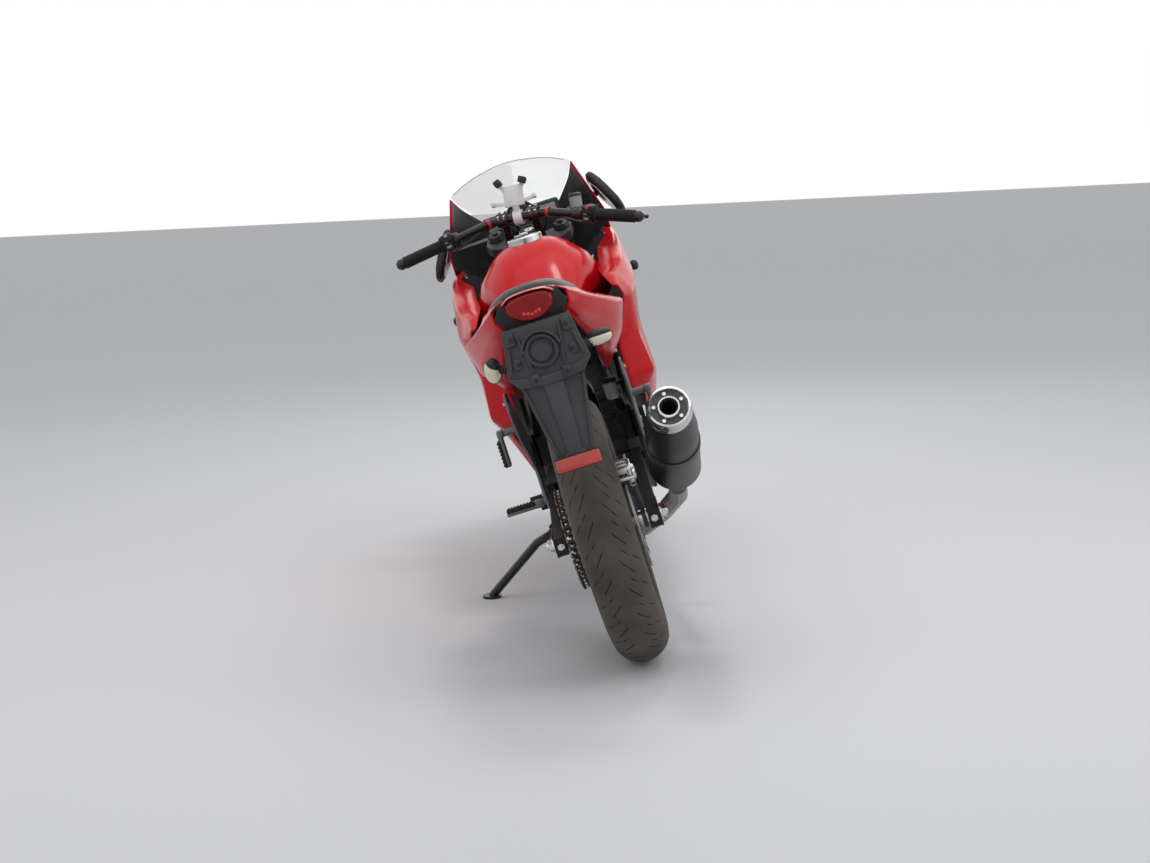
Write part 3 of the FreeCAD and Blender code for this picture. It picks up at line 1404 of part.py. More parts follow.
def make_side_stand():
    pad = rod(sole, sole - down * pad_thickness, pad_radius)
    heel = sole - down * pad_thickness * 0.5
    knee = stand_pivot + (heel - stand_pivot) * 0.3 - down * 12
    across_leg = stand_axis.cross(stand_down)
    low = stand_pivot - stand_axis * (eye_height / 2)
    neck = prism([low - across_leg * 12, low + across_leg * 12, low + across_leg * 12 + stand_down * 44,
                  low - across_leg * 12 + stand_down * 44], stand_axis * eye_height)
    leg = bent_rod([stand_pivot + stand_down * 34, knee, heel], 11)
    eye = rod(low, low + stand_axis * eye_height, eye_radius)
    past = stand_axis * 40
    return union([pad, leg, neck, eye]).cut(rod(stand_pivot - past, stand_pivot + past, stand_bolt_radius + running_gap))


side_stand = make_side_stand()


def make_stand_mount():
    """Two round cheeks over and under the eye, their bolt, and the arm up to the pivot plate."""
    cheek = eye_height / 2 + soft_gap
    inward = (X - stand_axis * X.dot(stand_axis)).normalize()
    along = stand_axis.cross(inward)
    pieces = [rod(stand_pivot - stand_axis * (cheek + 7), stand_pivot + stand_axis * (cheek + 7), stand_bolt_radius)]
    for side in (-1, 1):
        face = stand_pivot + stand_axis * side * cheek
        pieces.append(rod(face, face + stand_axis * side * 6, 15))
        outline = [face - along * 15, face + along * 15, face + inward * 40 + along * 15, face + inward * 40 - along * 15]
        pieces.append(prism(outline, stand_axis * side * 6))
    web = stand_pivot + inward * 26
    outline = [web - along * 15 - stand_axis * (cheek + 6), web + along * 15 - stand_axis * (cheek + 6),
               web + along * 15 + stand_axis * (cheek + 6), web - along * 15 + stand_axis * (cheek + 6)]
    pieces.append(prism(outline, inward * 14))
    pieces.append(hex_bar(web + inward * 7, V(-arm_outer + 2, pivot_y + 34, 302), 13))
    return pieces


frame = union([frame] + make_stand_mount())
for side in (-1, 1):
    rail_side = V(side * 76, 90, seat_height - 48)
    panel = tail_right if side > 0 else tail_left
    fairing = fairing_right if side > 0 else fairing_left
    spar_side = V(side * spar_x, head_point.y - 230, 680)
    out = X * side
    seat_post = V(side * 68, -60, seat_height - 20)
    frame = union([frame, faceted(spar_side, reach_to(fairing, spar_side, out, 8, soft_gap), 8)])
    posts = [faceted(rail_side, reach_to(panel, rail_side, out, 7, soft_gap), 7),
             faceted(seat_post, reach_to(pillion_seat, seat_post, Z, 7, soft_gap), 7)]
    subframe = union([subframe] + posts)

pieces = {
    "frame": frame, "engine_cradle": engine_cradle, "subframe": subframe, "nose_stay": nose_stay,
    "engine": engine, "radiator": radiator, "fuel_tank": fuel_tank, "fuel_cap": fuel_cap,
    "rider_seat": rider_seat, "pillion_seat": pillion_seat, "tail_cowl_left": tail_left,
    "tail_cowl_right": tail_right, "tail_cowl_centre": tail_centre, "undertray": undertray,
    "tail_lamp": tail_lamp, "rear_fender": rear_fender, "rear_reflector": reflector,
    "turn_signals": turn_signals, "inner_fender": inner_fender, "nose_cowl": nose_cowl,
    "inner_liners": inner_liners, "headlamp": headlamp, "windscreen": windscreen,
    "side_fairing_left": fairing_left, "side_fairing_right": fairing_right,
    "instrument_panel": instrument_panel, "mirrors": mirrors, "swingarm": swingarm,
    "rear_axle": rear_axle, "rear_shock": rear_shock, "rear_caliper": rear_caliper, "chain": chain,
    "chain_guard": chain_guard, "footrest_brackets": footrest_brackets, "rider_pegs": rider_pegs,
    "pillion_pegs": pillion_pegs, "foot_pedals": foot_pedals, "exhaust_header": exhaust_header,
    "silencer_body": silencer_body, "silencer_cap": silencer_cap, "brake_reservoir": brake_reservoir,
    "side_stand": side_stand, "rear_tyre": rear_tyre, "rear_rim": rear_rim, "rear_disc": rear_disc,
    "rear_sprocket": rear_sprocket,
}
steered = {
    "yokes": yokes, "fork_tubes": fork_tubes, "fork_sliders": fork_sliders, "front_axle": front_axle,
    "front_fender": front_fender, "front_caliper": front_caliper, "handlebar": handlebar, "grips": grips,
    "switch_housings": switch_housings, "levers": levers, "phone_holder": phone_holder, "front_tyre": front_tyre,
    "front_rim": front_rim, "front_disc": front_disc,
}
for name, shape in steered.items():
    pieces[name] = steer(shape)


def set_down(shape):
    parked = shape.copy()
    parked.rotate(V(0, 0, 0), Y, -math.degrees(lean))
    parked.rotate(V(0, 0, 0), X, math.degrees(tilt))
    return parked.translated(V(0, 0, -ground))


parked_pieces = {name: set_down(shape) for name, shape in pieces.items()}
corners = [shape.optimalBoundingBox(False, False) for shape in parked_pieces.values()]
middle_x = (min(b.XMin for b in corners) + max(b.XMax for b in corners)) / 2
middle_y = (min(b.YMin for b in corners) + max(b.YMax for b in corners)) / 2
centre_shift = V(-middle_x, -middle_y, 0)


def in_row(point):
    """A point of the upright bike, in the finished part's frame."""
    return to_ground_frame(point, tilt) - Z * ground + centre_shift


def row_direction(vector):
    return to_ground_frame(vector, tilt)


os.makedirs("parts", exist_ok=True)
for name, shape in parked_pieces.items():
    shape.translated(centre_shift).exportStep("parts/" + name + ".step")
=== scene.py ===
import json
import math

import bmesh
import bpy
from mathutils import Matrix, Vector


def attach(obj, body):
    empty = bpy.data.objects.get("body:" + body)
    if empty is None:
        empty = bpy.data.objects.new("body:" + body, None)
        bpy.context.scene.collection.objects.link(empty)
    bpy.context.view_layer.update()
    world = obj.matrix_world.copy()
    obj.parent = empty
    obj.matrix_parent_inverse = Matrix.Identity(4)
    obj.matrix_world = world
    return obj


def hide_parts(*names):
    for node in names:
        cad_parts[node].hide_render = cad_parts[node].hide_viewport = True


# The parked bike
# It leans on its side stand with its bars turned a little to the right. Everything below is drawn
# in millimetres on the upright bike, x to its right, y forward from the rear axle, z up.
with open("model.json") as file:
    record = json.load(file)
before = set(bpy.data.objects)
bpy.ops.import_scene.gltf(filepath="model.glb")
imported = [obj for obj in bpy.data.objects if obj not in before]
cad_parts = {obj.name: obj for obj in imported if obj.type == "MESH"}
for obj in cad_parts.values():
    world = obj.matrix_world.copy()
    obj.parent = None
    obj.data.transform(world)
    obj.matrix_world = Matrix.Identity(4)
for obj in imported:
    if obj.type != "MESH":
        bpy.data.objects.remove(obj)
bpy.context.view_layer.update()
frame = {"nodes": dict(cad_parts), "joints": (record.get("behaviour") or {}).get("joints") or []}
joints = {row["name"]: row for row in frame["joints"]}
rake = math.radians(26)
axle_z = 307
steer_foot = Vector((0, 1350.84, 269.02))
steering_rest = math.radians(-13)
right = Vector(joints["rear_wheel_spin"]["axis"])
steer_up = Vector(joints["steering"]["axis"])
steer_ahead = steer_up.cross(right)
ahead = steer_ahead * math.cos(rake) - steer_up * math.sin(rake)
up = steer_ahead * math.sin(rake) + steer_up * math.cos(rake)
rear_axle = Vector(joints["rear_wheel_spin"]["pos_m"])
upright = Matrix.Translation(rear_axle - up * axle_z / 1000)
upright @= Matrix((right, ahead, up)).transposed().to_4x4() @ Matrix.Scale(0.001, 4)
steer_line = Vector((0, -math.sin(rake), math.cos(rake)))
steer_back = Vector((0, math.cos(rake), math.sin(rake)))
turned = upright @ Matrix.Translation(steer_foot) @ Matrix.Rotation(steering_rest, 4, steer_line)
turned @= Matrix.Translation(-steer_foot)
across = Vector((1, 0, 0))
places = {"chassis": upright, "rear_wheel": upright, "fuel_cap": upright, "fork": turned,
          "front_wheel": turned}
head_y = 1077.23
pivot_y = 525.24

# Camera
# The photograph was taken from a standing height behind the bike, a little to its left, with the
# camera tipped slightly clockwise.
camera_from_bike = Vector((-0.159, -4.136, 1.140))
yaw, pitch, roll = math.radians(0.24), math.radians(-8.56), math.radians(-2.72)
looking = Vector((math.cos(pitch) * math.sin(yaw), math.cos(pitch) * math.cos(yaw), math.sin(pitch)))
level = Vector((math.cos(yaw), -math.sin(yaw), 0))
over = level.cross(looking)
camera_right = level * math.cos(roll) + over * math.sin(roll)
camera_up = over * math.cos(roll) - level * math.sin(roll)
camera = bpy.data.objects.new("camera", bpy.data.cameras.new("camera"))
bpy.context.scene.collection.objects.link(camera)
camera.data.sensor_width = 36
camera.data.lens = 1889.6 / 1150 * 36
camera.matrix_world = Matrix((camera_right, camera_up, -looking)).transposed().to_4x4()
camera.location = upright @ Vector((0, 0, 0)) + camera_from_bike
bpy.context.scene.camera = camera
bpy.context.scene.view_settings.view_transform = "Standard"

# Floor and light
# A plain pale studio floor and soft overhead lamps, as under the strip lights of a parking hall.
floor_mesh = bmesh.new()
bmesh.ops.create_grid(floor_mesh, x_segments=1, y_segments=1, size=30)
floor_data = bpy.data.meshes.new("floor")
floor_mesh.to_mesh(floor_data)
floor_mesh.free()
floor = bpy.data.objects.new("floor", floor_data)
bpy.context.scene.collection.objects.link(floor)
floor_paint = bpy.data.materials.new("floor_paint")
floor_paint.use_nodes = True
floor_paint.node_tree.nodes["Principled BSDF"].inputs["Base Color"].default_value = (0.74, 0.74, 0.75, 1)
floor_paint.node_tree.nodes["Principled BSDF"].inputs["Roughness"].default_value = 0.7
floor_data.materials.append(floor_paint)
world = bpy.data.worlds.new("studio")
world.use_nodes = True
sky = world.node_tree
room = sky.nodes["Background"]
room.inputs["Color"].default_value = (0.9, 0.92, 0.95, 1)
room.inputs["Strength"].default_value = 0.5
backdrop = sky.nodes.new("ShaderNodeBackground")
backdrop.inputs["Color"].default_value = (1, 1, 1, 1)
backdrop.inputs["Strength"].default_value = 1
rays = sky.nodes.new("ShaderNodeLightPath")
seen = sky.nodes.new("ShaderNodeMath")
seen.operation = "MAXIMUM"
seen_through = sky.nodes.new("ShaderNodeMath")
seen_through.operation = "MAXIMUM"
either = sky.nodes.new("ShaderNodeMixShader")
sky.links.new(rays.outputs["Is Camera Ray"], seen.inputs[0])
sky.links.new(rays.outputs["Is Glossy Ray"], seen.inputs[1])
sky.links.new(seen.outputs[0], seen_through.inputs[0])
sky.links.new(rays.outputs["Is Transmission Ray"], seen_through.inputs[1])
sky.links.new(seen_through.outputs[0], either.inputs["Fac"])
sky.links.new(room.outputs["Background"], either.inputs[1])
sky.links.new(backdrop.outputs["Background"], either.inputs[2])
sky.links.new(either.outputs["Shader"], sky.nodes["World Output"].inputs["Surface"])
bpy.context.scene.world = world


def soft_lamp(name, place, aim, size, power):
    lamp = bpy.data.objects.new(name, bpy.data.lights.new(name, "AREA"))
    lamp.data.size = size
    lamp.data.energy = power
    lamp.location = place
    lamp.rotation_euler = (Vector(aim) - Vector(place)).to_track_quat("-Z", "Y").to_euler()
    bpy.context.scene.collection.objects.link(lamp)


soft_lamp("lamp_over", (0.2, -0.6, 4.2), (0, 0, 0.6), 4.5, 52)
soft_lamp("lamp_strip", (0.1, 0.1, 3.2), (0, 0.3, 0.9), 0.45, 12)
soft_lamp("lamp_left", (-3.2, -2.4, 2.8), (0, 0, 0.6), 2.6, 12)
soft_lamp("lamp_right", (3.0, -1.4, 2.2), (0, 0, 0.6), 1.6, 14)
soft_lamp("lamp_front", (0.6, 3.6, 2.4), (0, 0, 0.6), 2.0, 12)


# Tyres
# Sport-touring radials in worn brown-black rubber. Each carcass is turned from one profile, and
# its curved rain grooves are cut by thin blades that follow the crown.
def finish(name, colour, roughness, metal=0.0, grain=700, bump=0.1, mottle=0.1, coat=0.0, spread=0.06,
           shine=0.5):
    """A surface finish: the colour drifts a little and a fine grain roughens and lifts it."""
    material = bpy.data.materials.new(name)
    material.use_nodes = True
    nodes, links = material.node_tree.nodes, material.node_tree.links
    surface = nodes["Principled BSDF"]
    surface.inputs["Metallic"].default_value = metal
    surface.inputs["Coat Weight"].default_value = coat
    surface.inputs["Specular IOR Level"].default_value = shine
    surface.inputs["Coat Roughness"].default_value = 0.06
    where = nodes.new("ShaderNodeTexCoord")
    drift = nodes.new("ShaderNodeTexNoise")
    drift.inputs["Scale"].default_value = 11
    drift.inputs["Detail"].default_value = 6
    shade = nodes.new("ShaderNodeValToRGB")
    shade.color_ramp.elements[0].position = 0.3
    shade.color_ramp.elements[1].position = 0.7
    shade.color_ramp.elements[0].color = [c * (1 - mottle) for c in colour] + [1]
    shade.color_ramp.elements[1].color = [min(1, c * (1 + mottle)) for c in colour] + [1]
    speck = nodes.new("ShaderNodeTexNoise")
    speck.inputs["Scale"].default_value = grain
    speck.inputs["Detail"].default_value = 3
    rough = nodes.new("ShaderNodeMapRange")
    rough.inputs["From Min"].default_value = 0.3
    rough.inputs["From Max"].default_value = 0.7
    rough.inputs["To Min"].default_value = max(0.02, roughness - spread)
    rough.inputs["To Max"].default_value = min(1, roughness + spread)
    lift = nodes.new("ShaderNodeBump")
    lift.inputs["Strength"].default_value = bump
    lift.inputs["Distance"].default_value = 0.0006
    links.new(where.outputs["Object"], drift.inputs["Vector"])
    links.new(where.outputs["Object"], speck.inputs["Vector"])
    links.new(drift.outputs["Fac"], shade.inputs["Fac"])
    links.new(shade.outputs["Color"], surface.inputs["Base Color"])
    links.new(speck.outputs["Fac"], rough.inputs["Value"])
    links.new(rough.outputs["Result"], surface.inputs["Roughness"])
    links.new(speck.outputs["Fac"], lift.inputs["Height"])
    links.new(lift.outputs["Normal"], surface.inputs["Normal"])
    return material


def place_piece(name, shape, material, body, stands_for=(), crease=35):
    """Turns a finished bmesh into a piece of the bike: placed, painted, smooth but for its edges."""
    bmesh.ops.transform(shape, matrix=places[body], verts=shape.verts)
    mesh = bpy.data.meshes.new(name)
    shape.to_mesh(mesh)
    shape.free()
    mesh.materials.append(material)
    mesh.shade_smooth()
    mesh.set_sharp_from_angle(angle=math.radians(crease))
    piece = bpy.data.objects.new(name, mesh)
    bpy.context.scene.collection.objects.link(piece)
    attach(piece, body)
    if stands_for:
        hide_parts(*stands_for)
    return piece


def turn_about(shape, profile, centre, axis, steps, closed=True):
    """Turns a profile of (along, radius) about an axis through the centre."""
    axis = Vector(axis).normalized()
    out = axis.orthogonal().normalized()
    verts = [shape.verts.new(Vector(centre) + axis * a + out * r) for a, r in profile]
    edges = [shape.edges.new(pair) for pair in zip(verts, verts[1:])]
    if closed:
        edges.append(shape.edges.new((verts[-1], verts[0])))
    bmesh.ops.spin(shape, geom=verts + edges, cent=centre, axis=axis, angle=math.tau, steps=steps,
                   use_merge=True)
    bmesh.ops.remove_doubles(shape, verts=shape.verts, dist=0.01)
    bmesh.ops.recalc_face_normals(shape, faces=shape.faces)


def band(start, end, inner, outer):
    """The profile of a ring with a square section."""
    return [(start, inner), (start, outer), (end, outer), (end, inner)]


def carve(piece, tool_mesh, crease):
    """Cuts a solid out of a piece for good."""
    tool = bpy.data.objects.new(tool_mesh.name, tool_mesh)
    bpy.context.scene.collection.objects.link(tool)
    cut = piece.modifiers.new("cut", "BOOLEAN")
    cut.object = tool
    cut.solver = "EXACT"
    bpy.context.view_layer.update()
    piece.data = bpy.data.meshes.new_from_object(piece.evaluated_get(bpy.context.evaluated_depsgraph_get()))
    piece.modifiers.clear()
    piece.data.shade_smooth()
    piece.data.set_sharp_from_angle(angle=math.radians(crease))
    bpy.data.objects.remove(tool)


tyre_rubber = finish("tyre_rubber", (0.075, 0.064, 0.054), 0.8, grain=900, bump=0.25, mottle=0.35)
rim_radius = 223
rim_lip = 9
tread_pitches = 30
groove_paths = (
    ((-6, 0.02), (-16, 0.32), (-30, 0.66), (-46, 1.02)),
    ((-14, 0.72), (-26, 0.98), (-40, 1.26)),
    ((-34, 0.06), (-47, 0.3), (-58, 0.5)),
)


def tyre_profile(radius, width):
    crown = width / 2
    bead = width * 0.36
    arc = [math.radians(a) for a in range(-66, 67, 6)]
    outside = [(crown * math.sin(a), radius - crown * (1 - math.cos(a))) for a in arc]
    waist = (outside[0][1] + rim_radius) / 2
    left = [(-bead, rim_radius), (-bead, rim_radius + rim_lip + 1), (-crown * 0.9, waist - 10),
            (-crown * 0.98, waist + 3)]
    right_side = [(-x, r) for x, r in left[::-1]]
    inside = [(bead - 9, rim_radius), (crown * 0.8, waist), (crown * 0.5, radius - 18),
              (-crown * 0.5, radius - 18), (-crown * 0.8, waist), (-bead + 9, rim_radius)]
    return left + outside + right_side + inside


def make_tyre(name, centre, radius, width, body, node, forward):
    carcass = bmesh.new()
    turn_about(carcass, tyre_profile(radius, width), centre, (1, 0, 0), 120)
    piece = place_piece(name, carcass, tyre_rubber, body, [node])
    crown = width / 2
    blades = bpy.data.curves.new(name + "_blades", "CURVE")
    blades.dimensions = "3D"
    blades.bevel_depth = 2.1
    blades.bevel_resolution = 1
    blades.use_fill_caps = True
    for pitch in range(tread_pitches):
        for side, path in ((side, path) for side in (-1, 1) for path in groove_paths):
            spline = blades.splines.new("POLY")
            spline.points.add(len(path) - 1)
            for i, (lean, share) in enumerate(path):
                tilt = math.radians(lean) * side
                turn = math.tau / tread_pitches * (pitch + share * forward + (0.5 if side > 0 else 0))
                depth = radius - crown * (1 - math.cos(tilt)) - 1.2
                spot = centre + Vector((crown * math.sin(tilt), depth * math.cos(turn),
                                        depth * math.sin(turn)))
                spline.points[i].co = (*spot, 1)
                spline.points[i].radius = 0.45 if i in (0, len(path) - 1) else 1
    cutter = bpy.data.objects.new(name + "_blades", blades)
    bpy.context.scene.collection.objects.link(cutter)
    cutter_mesh = bpy.data.meshes.new_from_object(cutter.evaluated_get(bpy.context.evaluated_depsgraph_get()))
    cutter_mesh.transform(places[body])
    carve(piece, cutter_mesh, 32)
    bpy.data.objects.remove(cutter)


rear_radius, front_radius = 307, 293
rear_hub = Vector((0, 0, rear_radius))
front_hub = Vector((0, 1400.01, front_radius))
make_tyre("rear_tyre_tread", rear_hub, rear_radius, 130, "rear_wheel", "rear_tyre", 1)
make_tyre("front_tyre_tread", front_hub, front_radius, 110, "front_wheel", "front_tyre", -1)

# Cast wheels
# Ten thin spokes in pairs between a drop-centre rim and the hub, painted satin black.
rim_black = finish("rim_black", (0.018, 0.018, 0.02), 0.38, grain=500, bump=0.05, coat=0.2)


def join(shape, part):
    """Adds a finished part to a bmesh and frees it."""
    spare = bpy.data.meshes.new("spare")
    part.to_mesh(spare)
    part.free()
    shape.from_mesh(spare)
    bpy.data.meshes.remove(spare)


def make_wheel(name, centre, width, hub_half, body, node):
    wheel = bmesh.new()
    bead = width * 0.36
    lip = bead + 6
    deep = rim_radius - 22
    profile = [(-lip, rim_radius + 8), (-lip + 1, rim_radius - 4), (-bead, rim_radius - 9),
               (-bead * 0.55, deep), (bead * 0.55, deep), (bead, rim_radius - 9), (lip - 1, rim_radius - 4),
               (lip, rim_radius + 8), (lip - 2, rim_radius + 9), (bead + 1, rim_radius + 8),
               (bead, rim_radius), (bead * 0.5, deep + 5), (-bead * 0.5, deep + 5), (-bead, rim_radius),
               (-bead - 1, rim_radius + 8), (-lip + 2, rim_radius + 9)]
    turn_about(wheel, profile, centre, (1, 0, 0), 96)
    hub = [(-hub_half, 9), (-hub_half, 30), (-hub_half + 3, 33), (-20, 34), (20, 34), (hub_half - 3, 33),
           (hub_half, 30), (hub_half, 9)]
    turn_about(wheel, hub, centre, (1, 0, 0), 40)
    for i in range(10):
        pair = -1 if i % 2 else 1
        spoke = bmesh.new()
        bmesh.ops.create_cube(spoke, size=1)
        for vert in spoke.verts:
            out = vert.co.z > 0
            vert.co = (vert.co.x * (26 if out else 38), vert.co.y * (12 if out else 18), 204 if out else 28)
        bmesh.ops.bevel(spoke, geom=spoke.edges[:], offset=3, segments=2, profile=0.5, affect="EDGES",
                        material=-1)
        angle = math.radians(72 * (i // 2) + pair * 12)
        bmesh.ops.transform(spoke, matrix=Matrix.Translation(centre) @ Matrix.Rotation(-angle, 4, "X"),
                            verts=spoke.verts)
        join(wheel, spoke)
    return place_piece(name, wheel, rim_black, body, [node])


make_wheel("rear_wheel_casting", rear_hub, 130, 52, "rear_wheel", "rear_rim")
make_wheel("front_wheel_casting", front_hub, 110, 46, "front_wheel", "front_rim")

# Brake discs
# Thin drilled steel rings riding on floating bobbins over a dark carrier bolted to each hub.
disc_steel = finish("disc_steel", (0.42, 0.41, 0.4), 0.32, metal=1, grain=1400, bump=0.08, mottle=0.18)


def pin_across(shape, middle, radius, length, segments):
    """A round pin along x."""
    bmesh.ops.create_cone(shape, cap_ends=True, segments=segments, radius1=radius, radius2=radius,
                          depth=length,
                          matrix=Matrix.Translation(middle) @ Matrix.Rotation(math.pi / 2, 4, "Y"))


def make_disc(name, centre, x, radius, thick, carrier, body, node):
    ring = bmesh.new()
    inner = radius - 34
    turn_about(ring, band(x - thick / 2, x + thick / 2, inner, radius), centre, (1, 0, 0), 96)
    holes = bmesh.new()
    for i in range(36):
        a = math.tau * i / 36
        r = (radius - 9, radius - 17, radius - 25)[i % 3]
        spot = centre + Vector((x, r * math.cos(a), r * math.sin(a)))
        pin_across(holes, spot, 3, thick * 3, 12)
    piece = place_piece(name, ring, disc_steel, body, [node], crease=30)
    bmesh.ops.transform(holes, matrix=places[body], verts=holes.verts)
    drill_mesh = bpy.data.meshes.new(name + "_drill")
    holes.to_mesh(drill_mesh)
    holes.free()
    carve(piece, drill_mesh, 30)
    spider = bmesh.new()
    turn_about(spider, band(x - 3, x + 3, carrier, carrier + 12), centre, (1, 0, 0), 48)
    for i in range(8):
        a = math.tau * i / 8
        arm = bmesh.ops.create_cube(spider, size=1)["verts"]
        middle = (carrier + inner) / 2 + 5
        bmesh.ops.scale(spider, vec=(6, 14, inner - carrier + 4), verts=arm)
        bmesh.ops.transform(spider, matrix=Matrix.Translation(centre) @ Matrix.Rotation(a, 4, "X")
                            @ Matrix.Translation((x, 0, middle)), verts=arm)
        out = centre + Vector((x, -math.sin(a) * (inner + 1), math.cos(a) * (inner + 1)))
        pin_across(spider, out, 7, 8, 14)
    place_piece(name + "_carrier", spider, rim_black, body, crease=30)


make_disc("rear_disc_ring", rear_hub, 70, 110, 5, 42, "rear_wheel", "rear_disc")
make_disc("front_disc_ring", front_hub, -58, 145, 5, 46, "front_wheel", "front_disc")

# Final drive
# An O-ring chain of pressed side plates with tan-plated outer links, running from the gearbox to a
# steel wheel sprocket on a black carrier.
chain_steel = finish("chain_steel", (0.36, 0.29, 0.2), 0.42, metal=1, grain=1200, bump=0.15, mottle=0.3)
chain_dark = finish("chain_dark", (0.07, 0.065, 0.06), 0.5, metal=1, grain=1200, bump=0.15, mottle=0.3)
chain_x = -80
chain_pitch = 15.875
chain_links = 106
wheel_teeth, gearbox_teeth = 43, 14
big_radius = wheel_teeth * chain_pitch / math.tau
small_radius = gearbox_teeth * chain_pitch / math.tau
gearbox = Vector((chain_x, 608.9, 346))
wheel_sprocket = Vector((chain_x, 0, axle_z))


def plate_from(points, push, soften=0.0, segments=2):
    """A plate drawn as an outline of points, pushed along a vector, with softened edges."""
    part = bmesh.new()
    face = part.faces.new([part.verts.new(point) for point in points])
    grown = bmesh.ops.extrude_face_region(part, geom=[face])["geom"]
    bmesh.ops.translate(part, vec=push, verts=[g for g in grown if isinstance(g, bmesh.types.BMVert)])
    bmesh.ops.recalc_face_normals(part, faces=part.faces)
    if soften:
        bmesh.ops.bevel(part, geom=part.edges[:], offset=soften, segments=segments, profile=0.5,
                        affect="EDGES", material=-1)
    return part


def on_circle(centre, angle, radius):
    return centre + Vector((0, math.cos(angle), math.sin(angle))) * radius


def chain_spot(share):
    """The place and heading on the chain's loop, from its share of the whole length."""
    span = gearbox - wheel_sprocket
    reach = math.hypot(span.y, span.z)
    tilt = math.atan2(span.z, span.y)
    open_angle = math.acos((big_radius - small_radius) / reach)
    straight = math.sqrt(reach ** 2 - (big_radius - small_radius) ** 2)
    back_arc = (math.tau - 2 * open_angle) * big_radius
    front_arc = 2 * open_angle * small_radius
    length = 2 * straight + back_arc + front_arc
    run = (share % 1) * length
    if run < back_arc:
        angle = tilt + open_angle + run / big_radius
        return on_circle(wheel_sprocket, angle, big_radius), angle + math.pi / 2
    run -= back_arc
    if run < straight:
        angle = tilt - open_angle
        start = on_circle(wheel_sprocket, angle, big_radius)
        return on_circle(start, angle + math.pi / 2, run), angle + math.pi / 2
    run -= straight
    if run < front_arc:
        angle = tilt - open_angle + run / small_radius
        return on_circle(gearbox, angle, small_radius), angle + math.pi / 2
    run -= front_arc
    angle = tilt + open_angle
    start = on_circle(gearbox, angle, small_radius)
    return on_circle(start, angle + math.pi / 2, run), angle + math.pi / 2


link_outline = ((-13, 2), (-11, 5.6), (-7, 7), (-3, 6), (0, 5), (3, 6), (7, 7), (11, 5.6), (13, 2), (13, -2),
                (11, -5.6), (7, -7), (3, -6), (0, -5), (-3, -6), (-7, -7), (-11, -5.6), (-13, -2))
outer_links, inner_links = bmesh.new(), bmesh.new()
for link in range(chain_links):
    here = chain_spot(link / chain_links)[0]
    there = chain_spot((link + 1) / chain_links)[0]
    middle = (here + there) / 2
    heading = math.atan2(there.z - here.z, there.y - here.y)
    shape, gap = (outer_links, 7.6) if link % 2 else (inner_links, 5.2)
    for side in (-1, 1):
        plate = plate_from([(side * gap, y, z) for y, z in link_outline], (side * 1.8, 0, 0))
        bmesh.ops.transform(plate, matrix=Matrix.Translation(middle) @ Matrix.Rotation(heading, 4, "X"),
                            verts=plate.verts)
        join(shape, plate)
    pin_across(inner_links, here, 4.6, 21, 10)
place_piece("chain_outer_links", outer_links, chain_steel, "chassis", ["chain"],
            crease=30)
place_piece("chain_inner_links", inner_links, chain_dark, "chassis", crease=30)
bore, bore_steps = 62, 32
blank, rims = bmesh.new(), []
for x in (-2.4, 2.4):
    ring = []
    for i in range(wheel_teeth * 4):
        r = big_radius + (5.5 if i % 4 in (0, 3) else -4.2)
        turn = math.tau * (i + 0.5) / (wheel_teeth * 4)
        ring.append(blank.verts.new(on_circle(wheel_sprocket, turn, r) + across * x))
    hole = [blank.verts.new(on_circle(wheel_sprocket, math.tau * i / bore_steps, bore) + across * x)
            for i in range(bore_steps)]
    outer = [blank.edges.new((ring[i], ring[(i + 1) % len(ring)])) for i in range(len(ring))]
    inner = [blank.edges.new((hole[i], hole[(i + 1) % bore_steps])) for i in range(bore_steps)]
    bmesh.ops.triangle_fill(blank, edges=outer + inner, use_beauty=True)
    rims.append((outer, inner))
for first, second in zip(*rims):
    bmesh.ops.bridge_loops(blank, edges=first + second)
bmesh.ops.recalc_face_normals(blank, faces=blank.faces)
place_piece("rear_sprocket_teeth", blank, disc_steel, "rear_wheel", ["rear_sprocket"],
            crease=30)
carrier = bmesh.new()
turn_about(carrier, [(-83, 30), (-83, 66), (-78, 66), (-62, 52), (-52, 48), (-52, 30)], rear_hub, (1, 0, 0),
           48)
for i in range(5):
    a = math.tau * i / 5
    spot = rear_hub + Vector((-84, 57 * math.cos(a), 57 * math.sin(a)))
    pin_across(carrier, spot, 8, 7, 6)
place_piece("sprocket_carrier", carrier, rim_black, "rear_wheel", crease=30)

# Silencer
# A satin-black can with a bright rounded end ring, a recessed end plate on five bolts and a dark
# outlet in a collar. It stands clear of the right fairing on a strap.
satin_black = finish("satin_black", (0.016, 0.016, 0.018), 0.36, grain=900, bump=0.08, shine=0.35)
end_silver = finish("end_silver", (0.62, 0.62, 0.63), 0.2, metal=1, grain=1300, bump=0.05, mottle=0.08)
plate_grey = finish("plate_grey", (0.07, 0.07, 0.074), 0.45, metal=0.5, grain=1200, bump=0.15)
bright_steel = finish("bright_steel", (0.66, 0.66, 0.65), 0.22, metal=1, grain=1300, bump=0.06, mottle=0.1)
soot = finish("soot", (0.008, 0.008, 0.008), 0.85, grain=500, bump=0.2)
can_tail = Vector((208, -258, 566))
can_out = Vector((26, -373, 221)).normalized()
can_radius = 58
end_radius = 48.5
can_length = 435
can = bmesh.new()
turn_about(can,
           [(-can_length, 26), (-can_length + 6, 30), (-can_length + 60, 50), (-can_length + 84, can_radius),
            (-150, can_radius), (-118, can_radius - 0.8), (-34, end_radius - 0.8), (-34, end_radius - 4),
            (-118, can_radius - 5), (-can_length + 86, can_radius - 5), (-can_length + 8, 24)], can_tail,
           can_out, 72)
place_piece("silencer_can", can, satin_black, "chassis", ["silencer_body"])
ring = bmesh.new()
